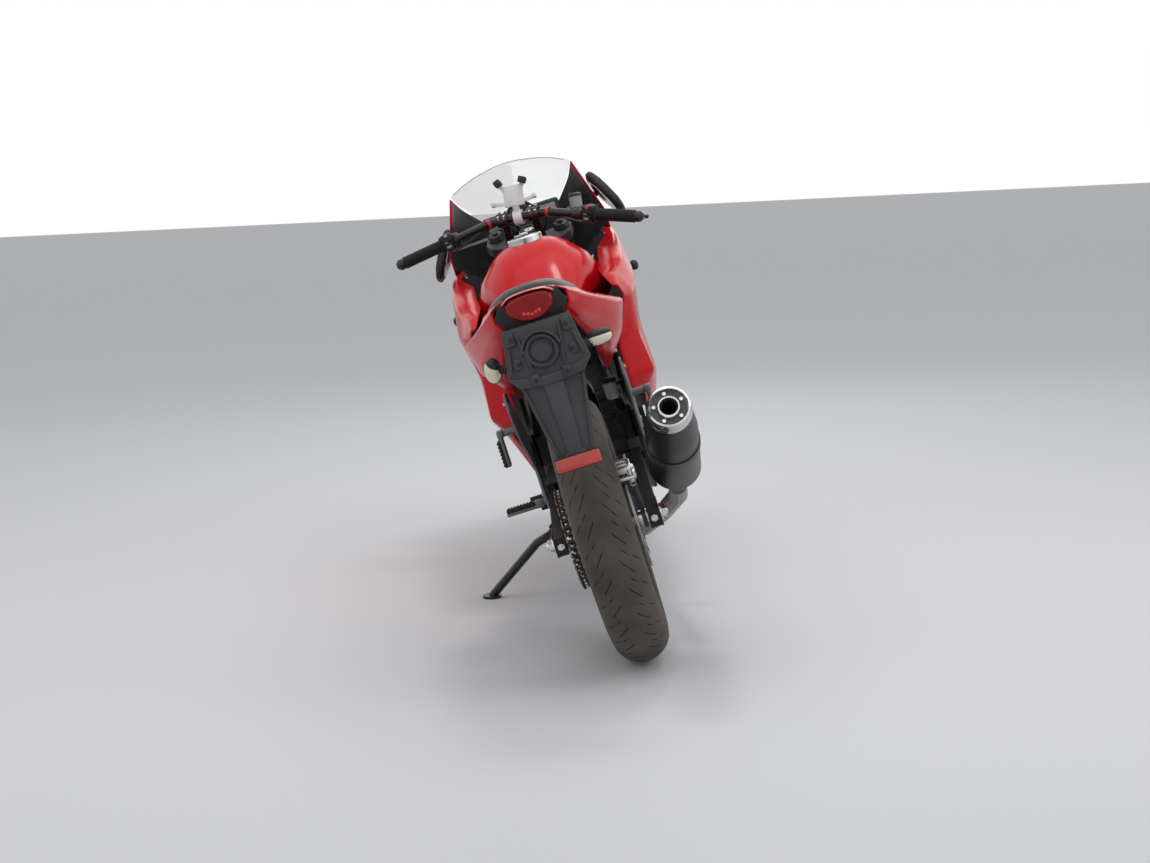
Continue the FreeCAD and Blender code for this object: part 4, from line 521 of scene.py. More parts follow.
turn_about(ring,
           [(-36, end_radius - 0.6), (-34, end_radius), (-20, end_radius), (-8, end_radius - 0.8),
            (-2, end_radius - 3), (0, end_radius - 7), (-3, end_radius - 9), (-12, end_radius - 9.5),
            (-12, end_radius - 12), (-36, end_radius - 5)], can_tail, can_out, 80)
place_piece("silencer_end_ring", ring, end_silver, "chassis", ["silencer_cap"])
end_plate = bmesh.new()
turn_about(end_plate, [(-13, 20), (-11, 22), (-11, end_radius - 10), (-15, end_radius - 9), (-15, 20)],
           can_tail, can_out, 64)
place_piece("silencer_end_plate", end_plate, plate_grey, "chassis")
outlet = bmesh.new()
turn_about(outlet, [(-14, 18), (-4, 18), (-1, 20), (-1, 23), (-4, 25), (-14, 26)], can_tail, can_out, 48)
place_piece("silencer_collar", outlet, end_silver, "chassis")
bore = bmesh.new()
turn_about(bore, [(-90, 1), (-90, 18), (-4, 18), (-4, 17), (-88, 17), (-88, 1)], can_tail, can_out, 40)
place_piece("silencer_bore", bore, soot, "chassis")
can_frame = can_out.to_track_quat("Z", "Y").to_matrix().to_4x4()
bolts = bmesh.new()
for i in range(5):
    a = math.radians(90 + 72 * i)
    spot = Matrix.Translation(can_tail) @ can_frame
    spot @= Matrix.Translation((32 * math.cos(a), 32 * math.sin(a), -8.5))
    bmesh.ops.create_cone(bolts, cap_ends=True, segments=16, radius1=4.6, radius2=4, depth=5, matrix=spot)
place_piece("silencer_bolts", bolts, bright_steel, "chassis", crease=30)
strap = bmesh.new()
turn_about(strap, band(-214, -190, can_radius + 0.2, can_radius + 2.6), can_tail, can_out, 64)
place_piece("silencer_strap", strap, plate_grey, "chassis")

# Tail cowls
# Two gloss-red side shells in one moulding each, swept up to a pointed tail, their outer face
# broken by a crease and plain and dull inside, with a bridge between them at the tip.
red_gloss = finish("red_gloss", (0.6, 0.003, 0.009), 0.22, grain=260, bump=0.015, mottle=0.04, coat=0.1,
                   spread=0.03, shine=0.16)
red_dull = finish("red_dull", (0.16, 0.008, 0.01), 0.5, grain=400, bump=0.05, mottle=0.12, shine=0.3)


def loft(rows, wrap=False):
    """Draws the first row of points and extrudes it from row to row."""
    shape = bmesh.new()
    line = [shape.verts.new(point) for point in rows[0]]
    pairs = list(zip(line, line[1:])) + ([(line[-1], line[0])] if wrap else [])
    run = [shape.edges.new(pair) for pair in pairs]
    grid = [line]
    for row in rows[1:]:
        grown = bmesh.ops.extrude_edge_only(shape, edges=run)["geom"]
        fresh = {tuple(part.co): part for part in grown if isinstance(part, bmesh.types.BMVert)}
        line = [fresh[tuple(vert.co)] for vert in line]
        ends = set(line)
        run = [part for part in grown if isinstance(part, bmesh.types.BMEdge) and ends.issuperset(part.verts)]
        for vert, point in zip(line, row):
            vert.co = point
        grid.append(line)
    bmesh.ops.recalc_face_normals(shape, faces=shape.faces)
    return shape, grid


def smooth_skin(name, shape, material, body, stands_for=(), thick=0.0, levels=2, inner=None,
                side=-1):
    """Places a skin and rounds it with a subdivision surface after giving it its wall."""
    piece = place_piece(name, shape, material, body, stands_for, crease=180)
    if not levels:
        piece.data.set_sharp_from_angle(angle=math.radians(28))
    if inner:
        piece.data.materials.append(inner)
    if thick:
        wall = piece.modifiers.new("wall", "SOLIDIFY")
        wall.thickness = thick / 1000
        wall.offset = side
        wall.use_even_offset = True
        wall.use_rim = True
        wall.edge_crease_rim = 0.55
        if inner:
            wall.material_offset = 1
    if not levels:
        return piece
    round_off = piece.modifiers.new("round", "SUBSURF")
    round_off.levels = levels
    round_off.render_levels = levels
    return piece


tail_table = (
    (-296, ((60, 880), (80, 868), (80, 842), (64, 822))),
    (-240, ((99, 858), (108, 842), (100, 812), (78, 790))),
    (-140, ((110, 840), (140, 818), (128, 776), (92, 746))),
    (0, ((115, 824), (176, 790), (158, 722), (104, 678))),
    (150, ((116, 806), (190, 774), (164, 700), (106, 626))),
    (300, ((136, 790), (190, 760), (164, 690), (98, 612))),
)


def round_corners(line, shares, wrap=False):
    """Draws an outline's corners as arcs that take up a share of the edges beside them."""
    rounded = []
    for i, corner in enumerate(line):
        share = shares[i]
        if share and (wrap or 0 < i < len(line) - 1):
            before, after = line[i - 1].lerp(corner, 1 - share), corner.lerp(line[(i + 1) % len(line)], share)
            rounded += [before.lerp(corner, t).lerp(corner.lerp(after, t), t)
                        for t in (0, 0.25, 0.5, 0.75, 1)]
        else:
            rounded.append(corner)
    return rounded


def faired_rows(table, start=0.0, shares=(0, 0.14, 0.14, 0.14, 0.14, 0), steps=5, wrap=False, bow=1.0):
    """Rows of points that run from outline to outline, bowed or straight, and keep their creases."""
    lines = [round_corners([Vector((x, start + y, z)) for x, z in outline], shares, wrap)
             for y, outline in table]
    rows = []
    for i in range(len(lines) - 1):
        before, after = lines[max(i - 1, 0)], lines[min(i + 2, len(lines) - 1)]
        for step in range(steps):
            t = step / steps
            row = []
            for p0, p1, p2, p3 in zip(before, lines[i], lines[i + 1], after):
                bend = (p2 - p0) * t + (p0 * 2 - p1 * 5 + p2 * 4 - p3) * t ** 2
                bend += (p1 * 3 - p0 - p2 * 3 + p3) * t ** 3
                row.append(p1.lerp(p2, t).lerp(p1 + bend / 2, bow))
            rows.append(row)
    return rows + [lines[-1]]


tail_rows = faired_rows(tail_table, shares=(0, 0.14, 0.14, 0))


def face_out(shape, direction):
    """Turns a skin's faces to the side that a direction points to."""
    if sum(face.normal.dot(Vector(direction)) for face in shape.faces) < 0:
        bmesh.ops.reverse_faces(shape, faces=shape.faces)


def side_shells(name, rows, inner, nodes):
    """The right and left shell of a pair, gloss red outside; returns both pieces."""
    pieces = []
    for side, outward, node in zip(("right", "left"), (1, -1), nodes):
        shell = loft([[(x * outward, y, z) for x, y, z in row] for row in rows])[0]
        face_out(shell, (outward, 0, 0))
        pieces.append(smooth_skin(f"{name}_{side}_shell", shell, red_gloss, "chassis", node, thick=3.5,
                                  inner=inner, levels=0))
    return pieces


side_shells("tail_cowl", tail_rows, red_dull, (["tail_cowl_right"], ["tail_cowl_left"]))
lip_table = (
    (-322, ((-58, 870), (-40, 885.5), (0, 888.5), (40, 885.5), (58, 870))),
    (-296, ((-57.6, 878.6), (-42, 887), (0, 889.5), (42, 887), (57.6, 878.6))),
    (-238, ((-95.2, 857.4), (-60, 879), (0, 887), (60, 879), (95.2, 857.4))),
)
lip, grid = loft([[(x, y, z) for x, z in outline] for y, outline in lip_table])
face_out(lip, (0, 0, 1))
smooth_skin("tail_cowl_bridge", lip, red_gloss, "chassis", ["tail_cowl_centre"], thick=3)

# Seats
# Foam pads under one stretched vinyl cover each: the rider's is scooped, the pillion's is a raised
# crescent at its back edge.
vinyl = finish("seat_vinyl", (0.006, 0.006, 0.007), 0.36, grain=420, bump=0.2, mottle=0.1, shine=0.14)


def whole_rows(table, start=0.0):
    """Closed rows from a table of (y, half outline of (x, z) from the centre line)."""
    return [[(x, start + y, z) for x, z in half] + [(-x, start + y, z) for x, z in half[-2:0:-1]]
            for y, half in table]


def padded_loft(name, table, start, node):
    """A closed pad from half outlines on the centre line."""
    pad, grid = loft(whole_rows(table, start), wrap=True)
    for end in (grid[0], grid[-1]):
        bmesh.ops.inset_individual(pad, faces=[pad.faces.new(end)], thickness=8, depth=0)
    bmesh.ops.recalc_face_normals(pad, faces=pad.faces)
    piece = smooth_skin(name, pad, vinyl, "chassis", [node])
    return piece


rider_table = (
    (4, ((0, 808), (70, 806), (122, 792), (132, 762), (112, 738), (0, 738))),
    (120, ((0, 792), (74, 790), (124, 776), (134, 744), (110, 726), (0, 726))),
    (250, ((0, 792), (64, 790), (106, 778), (118, 744), (96, 726), (0, 726))),
    (364, ((0, 808), (50, 804), (82, 788), (92, 760), (80, 738), (0, 738))),
)
padded_loft("rider_pad", rider_table, 190.24, "rider_seat")
pillion_table = (
    (-232, ((0, 884), (54, 880), (84, 860), (92, 838), (0, 838))),
    (-190, ((0, 902), (60, 897), (97, 864), (102, 840), (0, 838))),
    (-60, ((0, 882), (62, 878), (102, 852), (108, 828), (0, 824))),
    (80, ((0, 858), (64, 854), (106, 832), (112, 808), (0, 804))),
    (190.24, ((0, 852), (62, 846), (100, 826), (108, 800), (0, 796))),
)
padded_loft("pillion_pad", pillion_table, 0, "pillion_seat")

# Tail lamp
# A shield-shaped red lens between the tail cowls, with a row of prism facets across its lower half; the
# facets are real, and their red, brighter than the lens, is partly a painted glint.
red_lens = finish("red_lens", (0.3, 0.003, 0.005), 0.12, grain=200, bump=0.01, mottle=0.2, coat=0.3,
                  spread=0.02, shine=0.3)
lamp_table = (
    (-320, ((0, 880), (34, 878), (46, 868), (43, 850), (24, 833), (0, 829))),
    (-316, ((0, 884), (40, 882), (54, 870), (49, 846), (27, 827), (0, 824.4))),
    (-270, ((0, 882), (42, 880), (56, 868), (52, 844), (30, 826), (0, 824.4))),
)
lens, grid = loft(whole_rows(lamp_table), wrap=True)
bmesh.ops.inset_individual(lens, faces=[lens.faces.new(grid[0])], thickness=5, depth=0)
lens.faces.new(grid[-1])
bmesh.ops.recalc_face_normals(lens, faces=lens.faces)
smooth_skin("tail_lamp_lens", lens, red_lens, "chassis", ["tail_lamp"])


def rounded_box(shape, size, centre, turn=None, soften=3.0, segments=3):
    """A box with rounded edges, turned about its own centre."""
    part = bmesh.new()
    bmesh.ops.create_cube(part, size=1)
    bmesh.ops.scale(part, vec=size, verts=part.verts)
    bmesh.ops.bevel(part, geom=part.edges[:], offset=soften, segments=segments, profile=0.5, affect="EDGES",
                    material=-1)
    matrix = Matrix.Translation(centre) @ (turn.to_4x4() if turn else Matrix.Identity(4))
    bmesh.ops.transform(part, matrix=matrix, verts=part.verts)
    join(shape, part)


black_plastic = finish("black_plastic", (0.014, 0.014, 0.015), 0.55, grain=850, bump=0.35, mottle=0.15,
                       shine=0.35)
# The facets' bright red is partly the prisms' own red and partly a painted glint on them.
facet_red_painted_glint = finish("facet_red_painted_glint", (0.8, 0.03, 0.03), 0.14, grain=300, bump=0.05, mottle=0.25, coat=0.5)
facets = bmesh.new()
for i in range(5):
    x = (i - 2) * 8
    rounded_box(facets, (6.8, 4, 7), (x, -318.9, 839 + abs(x) * 0.3), soften=1.8)
place_piece("tail_lamp_facets_with_painted_glint", facets, facet_red_painted_glint, "chassis", crease=25)
surround_outline = ((-61, 877), (-46, 884), (46, 884), (61, 877), (78, 848), (62, 822), (-62, 822),
                    (-78, 848))
surround = plate_from([(x, -304, z) for x, z in surround_outline], (0, 6, 0), 2)
place_piece("tail_lamp_surround", surround, black_plastic, "chassis", crease=40)

# Fuel tank
# A pressed-steel tank with a domed crown over the rails and wide shoulders that shield the knees.
tank_table = (
    (36, ((0, 812), (54, 808), (90, 790), (98, 772), (99, 752), (84, 735), (0, 735))),
    (116, ((0, 884), (62, 878), (112, 842), (124, 812), (128, 770), (104, 727), (0, 727))),
    (196, ((0, 930), (74, 921), (136, 862), (150, 826), (176, 784), (140, 722), (0, 722))),
    (266, ((0, 943), (80, 929), (142, 864), (160, 828), (214, 802), (204, 728), (0, 722))),
    (336, ((0, 922), (66, 912), (112, 856), (150, 820), (214, 800), (204, 732), (0, 728))),
    (396, ((0, 882), (44, 874), (78, 842), (120, 806), (200, 796), (192, 742), (0, 745))),
    (430, ((0, 846), (36, 840), (60, 822), (90, 800), (160, 790), (156, 752), (0, 758))),
)
tank_loops = [(y, half + tuple((-x, z) for x, z in half[-2:0:-1])) for y, half in tank_table]
half_shares = [0.4, 0.42, 0.16, 0.3, 0.14, 0.14, 0]
tank_shares = half_shares + half_shares[-2:0:-1]
tank, grid = loft(faired_rows(tank_loops, pivot_y, tank_shares, wrap=True), wrap=True)
for end in (grid[0], grid[-1]):
    tank.faces.new(end)
bmesh.ops.recalc_face_normals(tank, faces=tank.faces)
smooth_skin("fuel_tank_shell", tank, red_gloss, "chassis", ["fuel_tank"], levels=0)

# Side fairings
# Gloss-red lower panels with a hard crease at mid height and a cut-back front edge; dull red inside.
fairing_table = (
    (-540, ((178, 779), (192, 773), (199, 746), (150, 640), (146, 556), (149, 511))),
    (-480, ((162, 806), (190, 802), (222, 752), (206, 640), (216, 540), (176, 490))),
    (-397, ((158, 815), (212, 812), (236, 752), (216, 650), (222, 525), (170, 440))),
    (-330, ((166, 834), (224, 826), (240, 765), (220, 650), (224, 515), (164, 400))),
    (-190, ((172, 857), (234, 852), (246, 776), (224, 650), (222, 490), (158, 300))),
    (-40, ((206, 876), (236, 872), (244, 792), (218, 670), (208, 490), (150, 280))),
    (90, ((206, 892), (231, 883), (230, 795), (210, 690), (198, 560), (188, 470))),
    (190, ((200, 880), (212, 872.4), (208, 800), (197, 720), (191, 640), (188, 560))),
)
fairing_rows = faired_rows(fairing_table, head_y, bow=0.3)
side_shells("side_fairing", fairing_rows, red_dull, (["side_fairing_right"], ["side_fairing_left"]))

# Nose cowl
# A gloss-red mask round the headlamp that rises to an ear on each side of the screen.
nose_table = (
    (96, ((178, 1092), (206, 1004), (228, 938), (228, 885))),
    (190, ((160, 1052), (194, 979), (215, 907), (213, 874.6))),
    (280, ((118, 1000), (160, 940), (182, 880), (168, 820))),
    (360, ((64, 946), (112, 900), (132, 850), (110, 790))),
    (430, ((12, 886), (50, 862), (62, 832), (44, 796))),
)
nose_rows = faired_rows(nose_table, head_y, (0, 0.2, 0.2, 0), bow=0.7)
ear_foot = 1046
for nose in side_shells("nose_cowl", nose_rows, black_plastic, (["nose_cowl"], ())):
    nose.data.materials.append(red_gloss)
    nose.data.materials.append(red_dull)
    for face in nose.data.polygons:
        if (upright.inverted() @ face.center).z > ear_foot:
            face.material_index = 2
mask_half = [(12, 886), (50, 862), (62, 832), (44, 796)]
mask_points = [(x, 1501.2, z) for x, z in mask_half + [(-x, z) for x, z in mask_half[::-1]]]
place_piece("nose_mask", plate_from(mask_points, (0, 6, 0), 2, 3), red_gloss, "chassis")

# Windscreen
# A smoke-tinted clear screen that sits along the nose cowl's rim; the light grey tube along its top edge is a
# painted highlight where the edge catches the light.
screen_clear = finish("screen_clear", (0.75, 0.77, 0.8), 0.06, grain=200, bump=0.0, mottle=0.02, spread=0.01)
surface = screen_clear.node_tree.nodes["Principled BSDF"]
surface.inputs["Transmission Weight"].default_value = 0.85
surface.inputs["IOR"].default_value = 1.2
surface.inputs["Alpha"].default_value = 0.3
screen_table = (
    (46, ((0, 1140), (70, 1132), (128, 1116), (164, 1100))),
    (96, ((0, 1122), (72, 1116), (134, 1105), (176, 1094.5))),
    (190, ((0, 1074), (64, 1070), (118, 1064), (158, 1054.5))),
    (280, ((0, 1012), (50, 1010), (90, 1008), (116, 1002.5))),
    (360, ((0, 952), (30, 951), (50, 950.5), (62, 948.5))),
)


def tube_along(name, points, radius, steps=8, sides=8, smooth=True):
    """A round tube on a smooth curve through points, as a bmesh."""
    route = bpy.data.curves.new(name, "CURVE")
    route.dimensions = "3D"
    route.bevel_depth = radius
    route.bevel_resolution = sides // 2
    route.use_fill_caps = True
    route.resolution_u = steps
    line = route.splines.new("BEZIER" if smooth else "POLY")
    if smooth:
        line.bezier_points.add(len(points) - 1)
        for knot, point in zip(line.bezier_points, points):
            knot.co = point
            knot.handle_left_type = knot.handle_right_type = "AUTO"
    else:
        line.points.add(len(points) - 1)
        for knot, point in zip(line.points, points):
            knot.co = (*point, 1)
    carrier = bpy.data.objects.new(name, route)
    bpy.context.scene.collection.objects.link(carrier)
    mesh = bpy.data.meshes.new_from_object(carrier.evaluated_get(bpy.context.evaluated_depsgraph_get()))
    bpy.data.objects.remove(carrier)
    shape = bmesh.new()
    shape.from_mesh(mesh)
    return shape


rows = []
for y, half in screen_table:
    rows.append([(-x, head_y + y, z) for x, z in half[:0:-1]] + [(x, head_y + y, z) for x, z in half])
screen, grid = loft(rows)
face_out(screen, (0, 0, 1))
smooth_skin("windscreen_pane", screen, screen_clear, "chassis", ["windscreen"], thick=3,
            side=1)
# The edge tube's light grey is a painted highlight, not the clear screen's own colour.
edge_painted_highlight = finish("screen_rim_highlight", (0.7, 0.72, 0.74), 0.3, grain=300, bump=0.05)
rim_points = [(-x, z) for x, z in screen_table[0][1][:0:-1]] + list(screen_table[0][1])
screen_rim_highlight = tube_along("screen_rim_highlight", [(x * 0.985, head_y + 46.6, z + 1.6) for x, z in rim_points], 1.7,
                         steps=10)
place_piece("windscreen_rim_highlight", screen_rim_highlight, edge_painted_highlight, "chassis", crease=60)

# Rear fender
# One moulding in dark grey textured plastic: a head with screw bosses, ribs and a round lamp seat, a
# stepped shelf with two tabs, and a long tongue with a raised middle that ends at the reflector.
fender_plastic = finish("fender_plastic", (0.06, 0.06, 0.064), 0.66, grain=850, bump=0.45, mottle=0.16,
                        shine=0.35)
fender_lean = 0.19


def fender_face(z):
    return -324 - (822 - z) * fender_lean


def slab(shape, outline, back, front, soften=1.5, segments=2):
    """A plate on the fender's sloping face, from an outline of (x, z), with softened edges."""
    points = [(x, fender_face(z) + front, z) for x, z in outline]
    join(shape, plate_from(points, (0, back - front, 0), soften, segments))


def both(outline):
    return [(-x, z) for x, z in outline[::-1]]


fender = bmesh.new()
slab(fender, [(-72, 822), (72, 822), (78, 780), (88, 726), (66, 700), (40, 546), (34, 521), (-34, 521),
              (-40, 546), (-66, 700), (-88, 726), (-78, 780)], 1, 15.5, 2.4)
shelf = [(-86, 727), (-30, 716), (30, 716), (86, 727), (68, 703), (24, 697), (-24, 697), (-68, 703)]
slab(fender, shelf, -7, 3, 2)
slab(fender, [(-22, 712), (22, 712), (15, 545), (-15, 545)], -4.5, 3, 2.4)
slab(fender, [(-19, 556), (19, 556), (30, 526), (-30, 526)], -3, 3, 1.5)
for turn in (list, both):
    slab(fender, turn([(26, 724), (42, 722), (40, 702), (24, 702)]), -13, 0, 2)
    slab(fender, turn([(50, 816), (66, 816), (70, 790), (52, 790)]), -6, 3, 2)
    slab(fender, turn([(44, 812), (48, 812), (36, 732), (31, 732)]), -6, 2, 1.2)
    slab(fender, turn([(66, 786), (71, 786), (80, 738), (74, 736)]), -5, 2, 1.2)
    slab(fender, turn([(52, 762), (64, 764), (68, 744), (54, 740)]), -3.5, 2, 1.5)
    slab(fender, turn([(60, 700), (64, 700), (38, 556), (33.5, 556)]), -3.6, 2, 1.2)
lamp_seat = Vector((-4, fender_face(764), 764))
seat_axis = Vector((0, -1, fender_lean)).normalized()
turn_about(fender, [(-2, 26), (4, 27), (7, 29.5), (7, 32), (4, 35), (-2, 37)], lamp_seat, seat_axis, 56)
turn_about(fender, [(-2, 0.5), (3, 0.5), (3, 17), (5, 18.5), (5, 21), (-2, 22)], lamp_seat, seat_axis, 48)
arch = bmesh.new()
turn_about(arch, [(4, 37), (9, 38), (9, 42), (4, 43), (-1, 43), (-1, 37)], lamp_seat, seat_axis, 56)
bmesh.ops.bisect_plane(arch, geom=arch.verts[:] + arch.edges[:] + arch.faces[:],
                       plane_co=lamp_seat + Vector((0, 0, 6)), plane_no=(0, 0, 1), clear_inner=True)
bmesh.ops.holes_fill(arch, edges=arch.edges[:])
join(fender, arch)
place_piece("rear_fender_moulding", fender, fender_plastic, "chassis", ["rear_fender"],
            crease=40)
screws = bmesh.new()
facing = seat_axis.to_track_quat("Z", "Y").to_matrix().to_4x4()
for x, z in ((-58, 803), (58, 803), (-57, 752), (57, 752), (-33, 712), (33, 712)):
    depth = -8 if z > 790 else (-15 if z == 712 else -5)
    spot = Matrix.Translation((x, fender_face(z) + depth, z)) @ facing
    bmesh.ops.create_cone(screws, cap_ends=True, segments=20, radius1=4.6, radius2=4, depth=3.4, matrix=spot)
place_piece("rear_fender_screws", screws, black_plastic, "chassis", crease=30)

# Rear reflector
# A moulded red bar clipped under the end of the fender's tongue, prisms showing through its face.
reflector_red = finish("reflector_red", (0.56, 0.016, 0.012), 0.16, grain=1500, bump=0.3, mottle=0.22,
                       coat=0.7, spread=0.05)
prism_ribs = reflector_red.node_tree
ribs = prism_ribs.nodes.new("ShaderNodeTexVoronoi")
ribs.inputs["Scale"].default_value = 260
prism_lift = prism_ribs.nodes.new("ShaderNodeBump")
prism_lift.inputs["Strength"].default_value = 0.5
prism_lift.inputs["Distance"].default_value = 0.001
prism_ribs.links.new(prism_ribs.nodes["Texture Coordinate"].outputs["Object"], ribs.inputs["Vector"])
prism_ribs.links.new(ribs.outputs["Distance"], prism_lift.inputs["Height"])
prism_ribs.links.new(prism_lift.outputs["Normal"], prism_ribs.nodes["Principled BSDF"].inputs["Normal"])
reflector = bmesh.new()
slab(reflector, [(-46, 547), (46, 547), (46, 521), (-46, 521)], -10, -0.3, 2.6, 3)
place_piece("rear_reflector_bar", reflector, reflector_red, "chassis", ["rear_reflector"])
frame_bar = bmesh.new()
for outline in ([(-48, 549.5), (48, 549.5), (48, 546), (-48, 546)],
                [(-48, 522), (48, 522), (48, 519.5), (-48, 519.5)]):
    slab(frame_bar, outline, -7, 0, 0.8)
place_piece("rear_reflector_frame", frame_bar, black_plastic, "chassis")

# Turn signals
# Oval cream lenses in dark shells on short rubber stalks, two by the rear fender, two on the fairings.
cream_lens = finish("cream_lens", (0.78, 0.72, 0.52), 0.1, grain=500, bump=0.12, mottle=0.16, coat=0.8,
                    spread=0.03)
stalk_rubber = finish("stalk_rubber", (0.014, 0.014, 0.014), 0.7, grain=900, bump=0.4)


def egg(shape, centre, half, heading, lower=0.0, upper=1.0, segments=28):
    """An ellipsoid, or its part between two shares of its depth, facing along a heading."""
    ball = bmesh.new()
    bmesh.ops.create_uvsphere(ball, u_segments=segments, v_segments=segments // 2, radius=1)
    for share, keep_above in ((lower, True), (upper, False)):
        if 0 < share < 1:
            cut = bmesh.ops.bisect_plane(ball, geom=ball.verts[:] + ball.edges[:] + ball.faces[:],
                                         plane_co=(0, 0, share * 2 - 1), plane_no=(0, 0, 1),
                                         clear_inner=keep_above, clear_outer=not keep_above)
            bmesh.ops.holes_fill(ball, edges=[e for e in ball.edges if e.is_boundary])
    bmesh.ops.scale(ball, vec=half, verts=ball.verts)
    turn = Vector(heading).normalized().to_track_quat("Z", "Y").to_matrix().to_4x4()
    bmesh.ops.transform(ball, matrix=Matrix.Translation(centre) @ turn, verts=ball.verts)
    bmesh.ops.recalc_face_normals(ball, faces=ball.faces)
    join(shape, ball)


def rod_between(shape, start, end, radius, end_radius=None, segments=16):
    """A round bar between two points."""
    start, end = Vector(start), Vector(end)
    run = end - start
    spot = Matrix.Translation((start + end) / 2) @ run.to_track_quat("Z", "Y").to_matrix().to_4x4()
    bmesh.ops.create_cone(shape, cap_ends=True, segments=segments, radius1=radius,
                          radius2=radius if end_radius is None else end_radius, depth=run.length, matrix=spot)


lenses, shells, stalks = bmesh.new(), bmesh.new(), bmesh.new()
for side in (-1, 1):
    middle = Vector((side * 114, -300, 750))
    heading = Vector((side * 0.12, -1, 0.1))
    wide, high = (28, 14) if side > 0 else (17, 25)
    egg(lenses, middle, (wide, high, 19), heading, lower=0.46)
    egg(shells, middle, (wide + 1, high + 1.5, 18), heading, upper=0.5)
    egg(shells, middle + Vector((-side * 0.3 * (28 - wide), 1, 8)), (wide - 1, high * 0.8, 19), heading)
    rod_between(stalks, (side * 76, -322, 747), (side * 98, -303, 749), 8, 6.5)
    for share in (0.2, 0.45, 0.7):
        spot = Vector((side * 76, -322, 747)).lerp(Vector((side * 98, -303, 749)), share)
        rod_between(stalks, spot, spot + Vector((side * 3, 2.6, 0.3)), 9.6)
    front = Vector((side * 256, 1097, 768))
    forward = Vector((side * 0.3, 1, 0.05))
    egg(lenses, front, (12, 14, 14), forward, lower=0.46)
    egg(shells, front, (12.6, 14.6, 14), forward, upper=0.5)
    rod_between(stalks, (side * 233, 1097, 768), (side * 246, 1097, 768), 5.4)
place_piece("signal_lenses", lenses, cream_lens, "chassis", ["turn_signals"])
place_piece("signal_shells", shells, black_plastic, "chassis")
place_piece("signal_stalks", stalks, stalk_rubber, "chassis", crease=40)

# Inner mudguard
# A black moulded arc that rides on the swingarm over the front and top of the rear tyre.
hugger_rows = []
hugger_radius = rear_radius + 24
for degrees in range(2, 100, 8):
    a = math.radians(degrees)
    flare = 1 - 0.25 * abs(degrees - 50) / 50
    row = []
    for x, r in ((-65, -36 * flare), (-64, -14), (-60, 1), (-44, 9), (-22, 12.6), (0, 13.6), (22, 12.6),
                 (44, 9), (60, 1), (64, -14), (65, -36 * flare)):
        row.append(on_circle(rear_hub, a, hugger_radius + r) + across * x)
    hugger_rows.append(row)
hugger, grid = loft(hugger_rows)
face_out(hugger, (0, 1, 1))
smooth_skin("inner_mudguard", hugger, black_plastic, "chassis", ["inner_fender"], thick=3)
tabs = bmesh.new()
for side in (-1, 1):
    rod_between(tabs, (side * 61, 314, 352), (side * 94.6, 314, 352), 7)
    rod_between(tabs, (side * 61, 314, 352), (side * 64, 314, 352), 11, segments=6)
place_piece("mudguard_tabs", tabs, black_plastic, "chassis", crease=40)

# Swingarm
# Two box-section arms welded to a cross piece, painted satin black, with a chain adjuster and a
# forged block in each open end.
frame_black = finish("frame_black", (0.014, 0.014, 0.015), 0.42, grain=600, bump=0.12, mottle=0.12, shine=0.3)


def show(node, material):
    """Paints a CAD node that stays in view."""
    for spot in frame["nodes"][node].material_slots:
        spot.material = material


show("swingarm", frame_black)
fittings, bright = bmesh.new(), bmesh.new()
for side in (-1, 1):
    face = side * 121
    rounded_box(fittings, (3, 96, 52), (face + side, 14, axle_z), soften=1.2, segments=2)
    rod_between(bright, (side * 108, -62, axle_z), (side * 108, -18, axle_z), 4, segments=18)
    rod_between(bright, (side * 108, -52, axle_z), (side * 108, -45, axle_z), 8.5, segments=6)
    rod_between(bright, (side * 108, -43, axle_z), (side * 108, -38, axle_z), 8.5, segments=6)
    plate = bmesh.ops.create_cube(bright, size=1)["verts"]
    bmesh.ops.scale(bright, vec=(24, 4, 40), verts=plate)
    bmesh.ops.translate(bright, vec=(side * 108, -38, axle_z), verts=plate)
    rod_between(bright, (side * 122, 0, axle_z), (side * 127, 0, axle_z), 19, segments=32)
    rod_between(bright, (side * 127, 0, axle_z), (side * 137, 0, axle_z), 14, segments=6)
    rod_between(bright, (side * 137, 0, axle_z), (side * 141, 0, axle_z), 8.4, segments=24)
    rod_between(bright, (side * 121, 44, 305), (side * 128, 44, 305), 7, segments=6)
place_piece("swingarm_end_plates", fittings, frame_black, "chassis")
place_piece("axle_nuts_and_adjusters", bright, bright_steel, "chassis", ["rear_axle"],
            crease=30)
spindle = bmesh.new()
rod_between(spindle, (-122, 0, axle_z), (122, 0, axle_z), 8.4, segments=32)
rod_between(spindle, (52.5, 0, axle_z), (94.8, 0, axle_z), 13.8, segments=32)
rod_between(spindle, (-94.8, 0, axle_z), (-84, 0, axle_z), 13.8, segments=32)
place_piece("rear_spindle", spindle, bright_steel, "chassis", crease=30)

# Rear brake
# A bright cast caliper over the thin disc, on a dark torque bracket that turns round the axle, with
# two slide pins, pads, a bleed nipple and a banjo bolt for its hose.
cast_silver = finish("cast_silver", (0.6, 0.6, 0.6), 0.36, metal=0.9, grain=1000, bump=0.2, mottle=0.12)


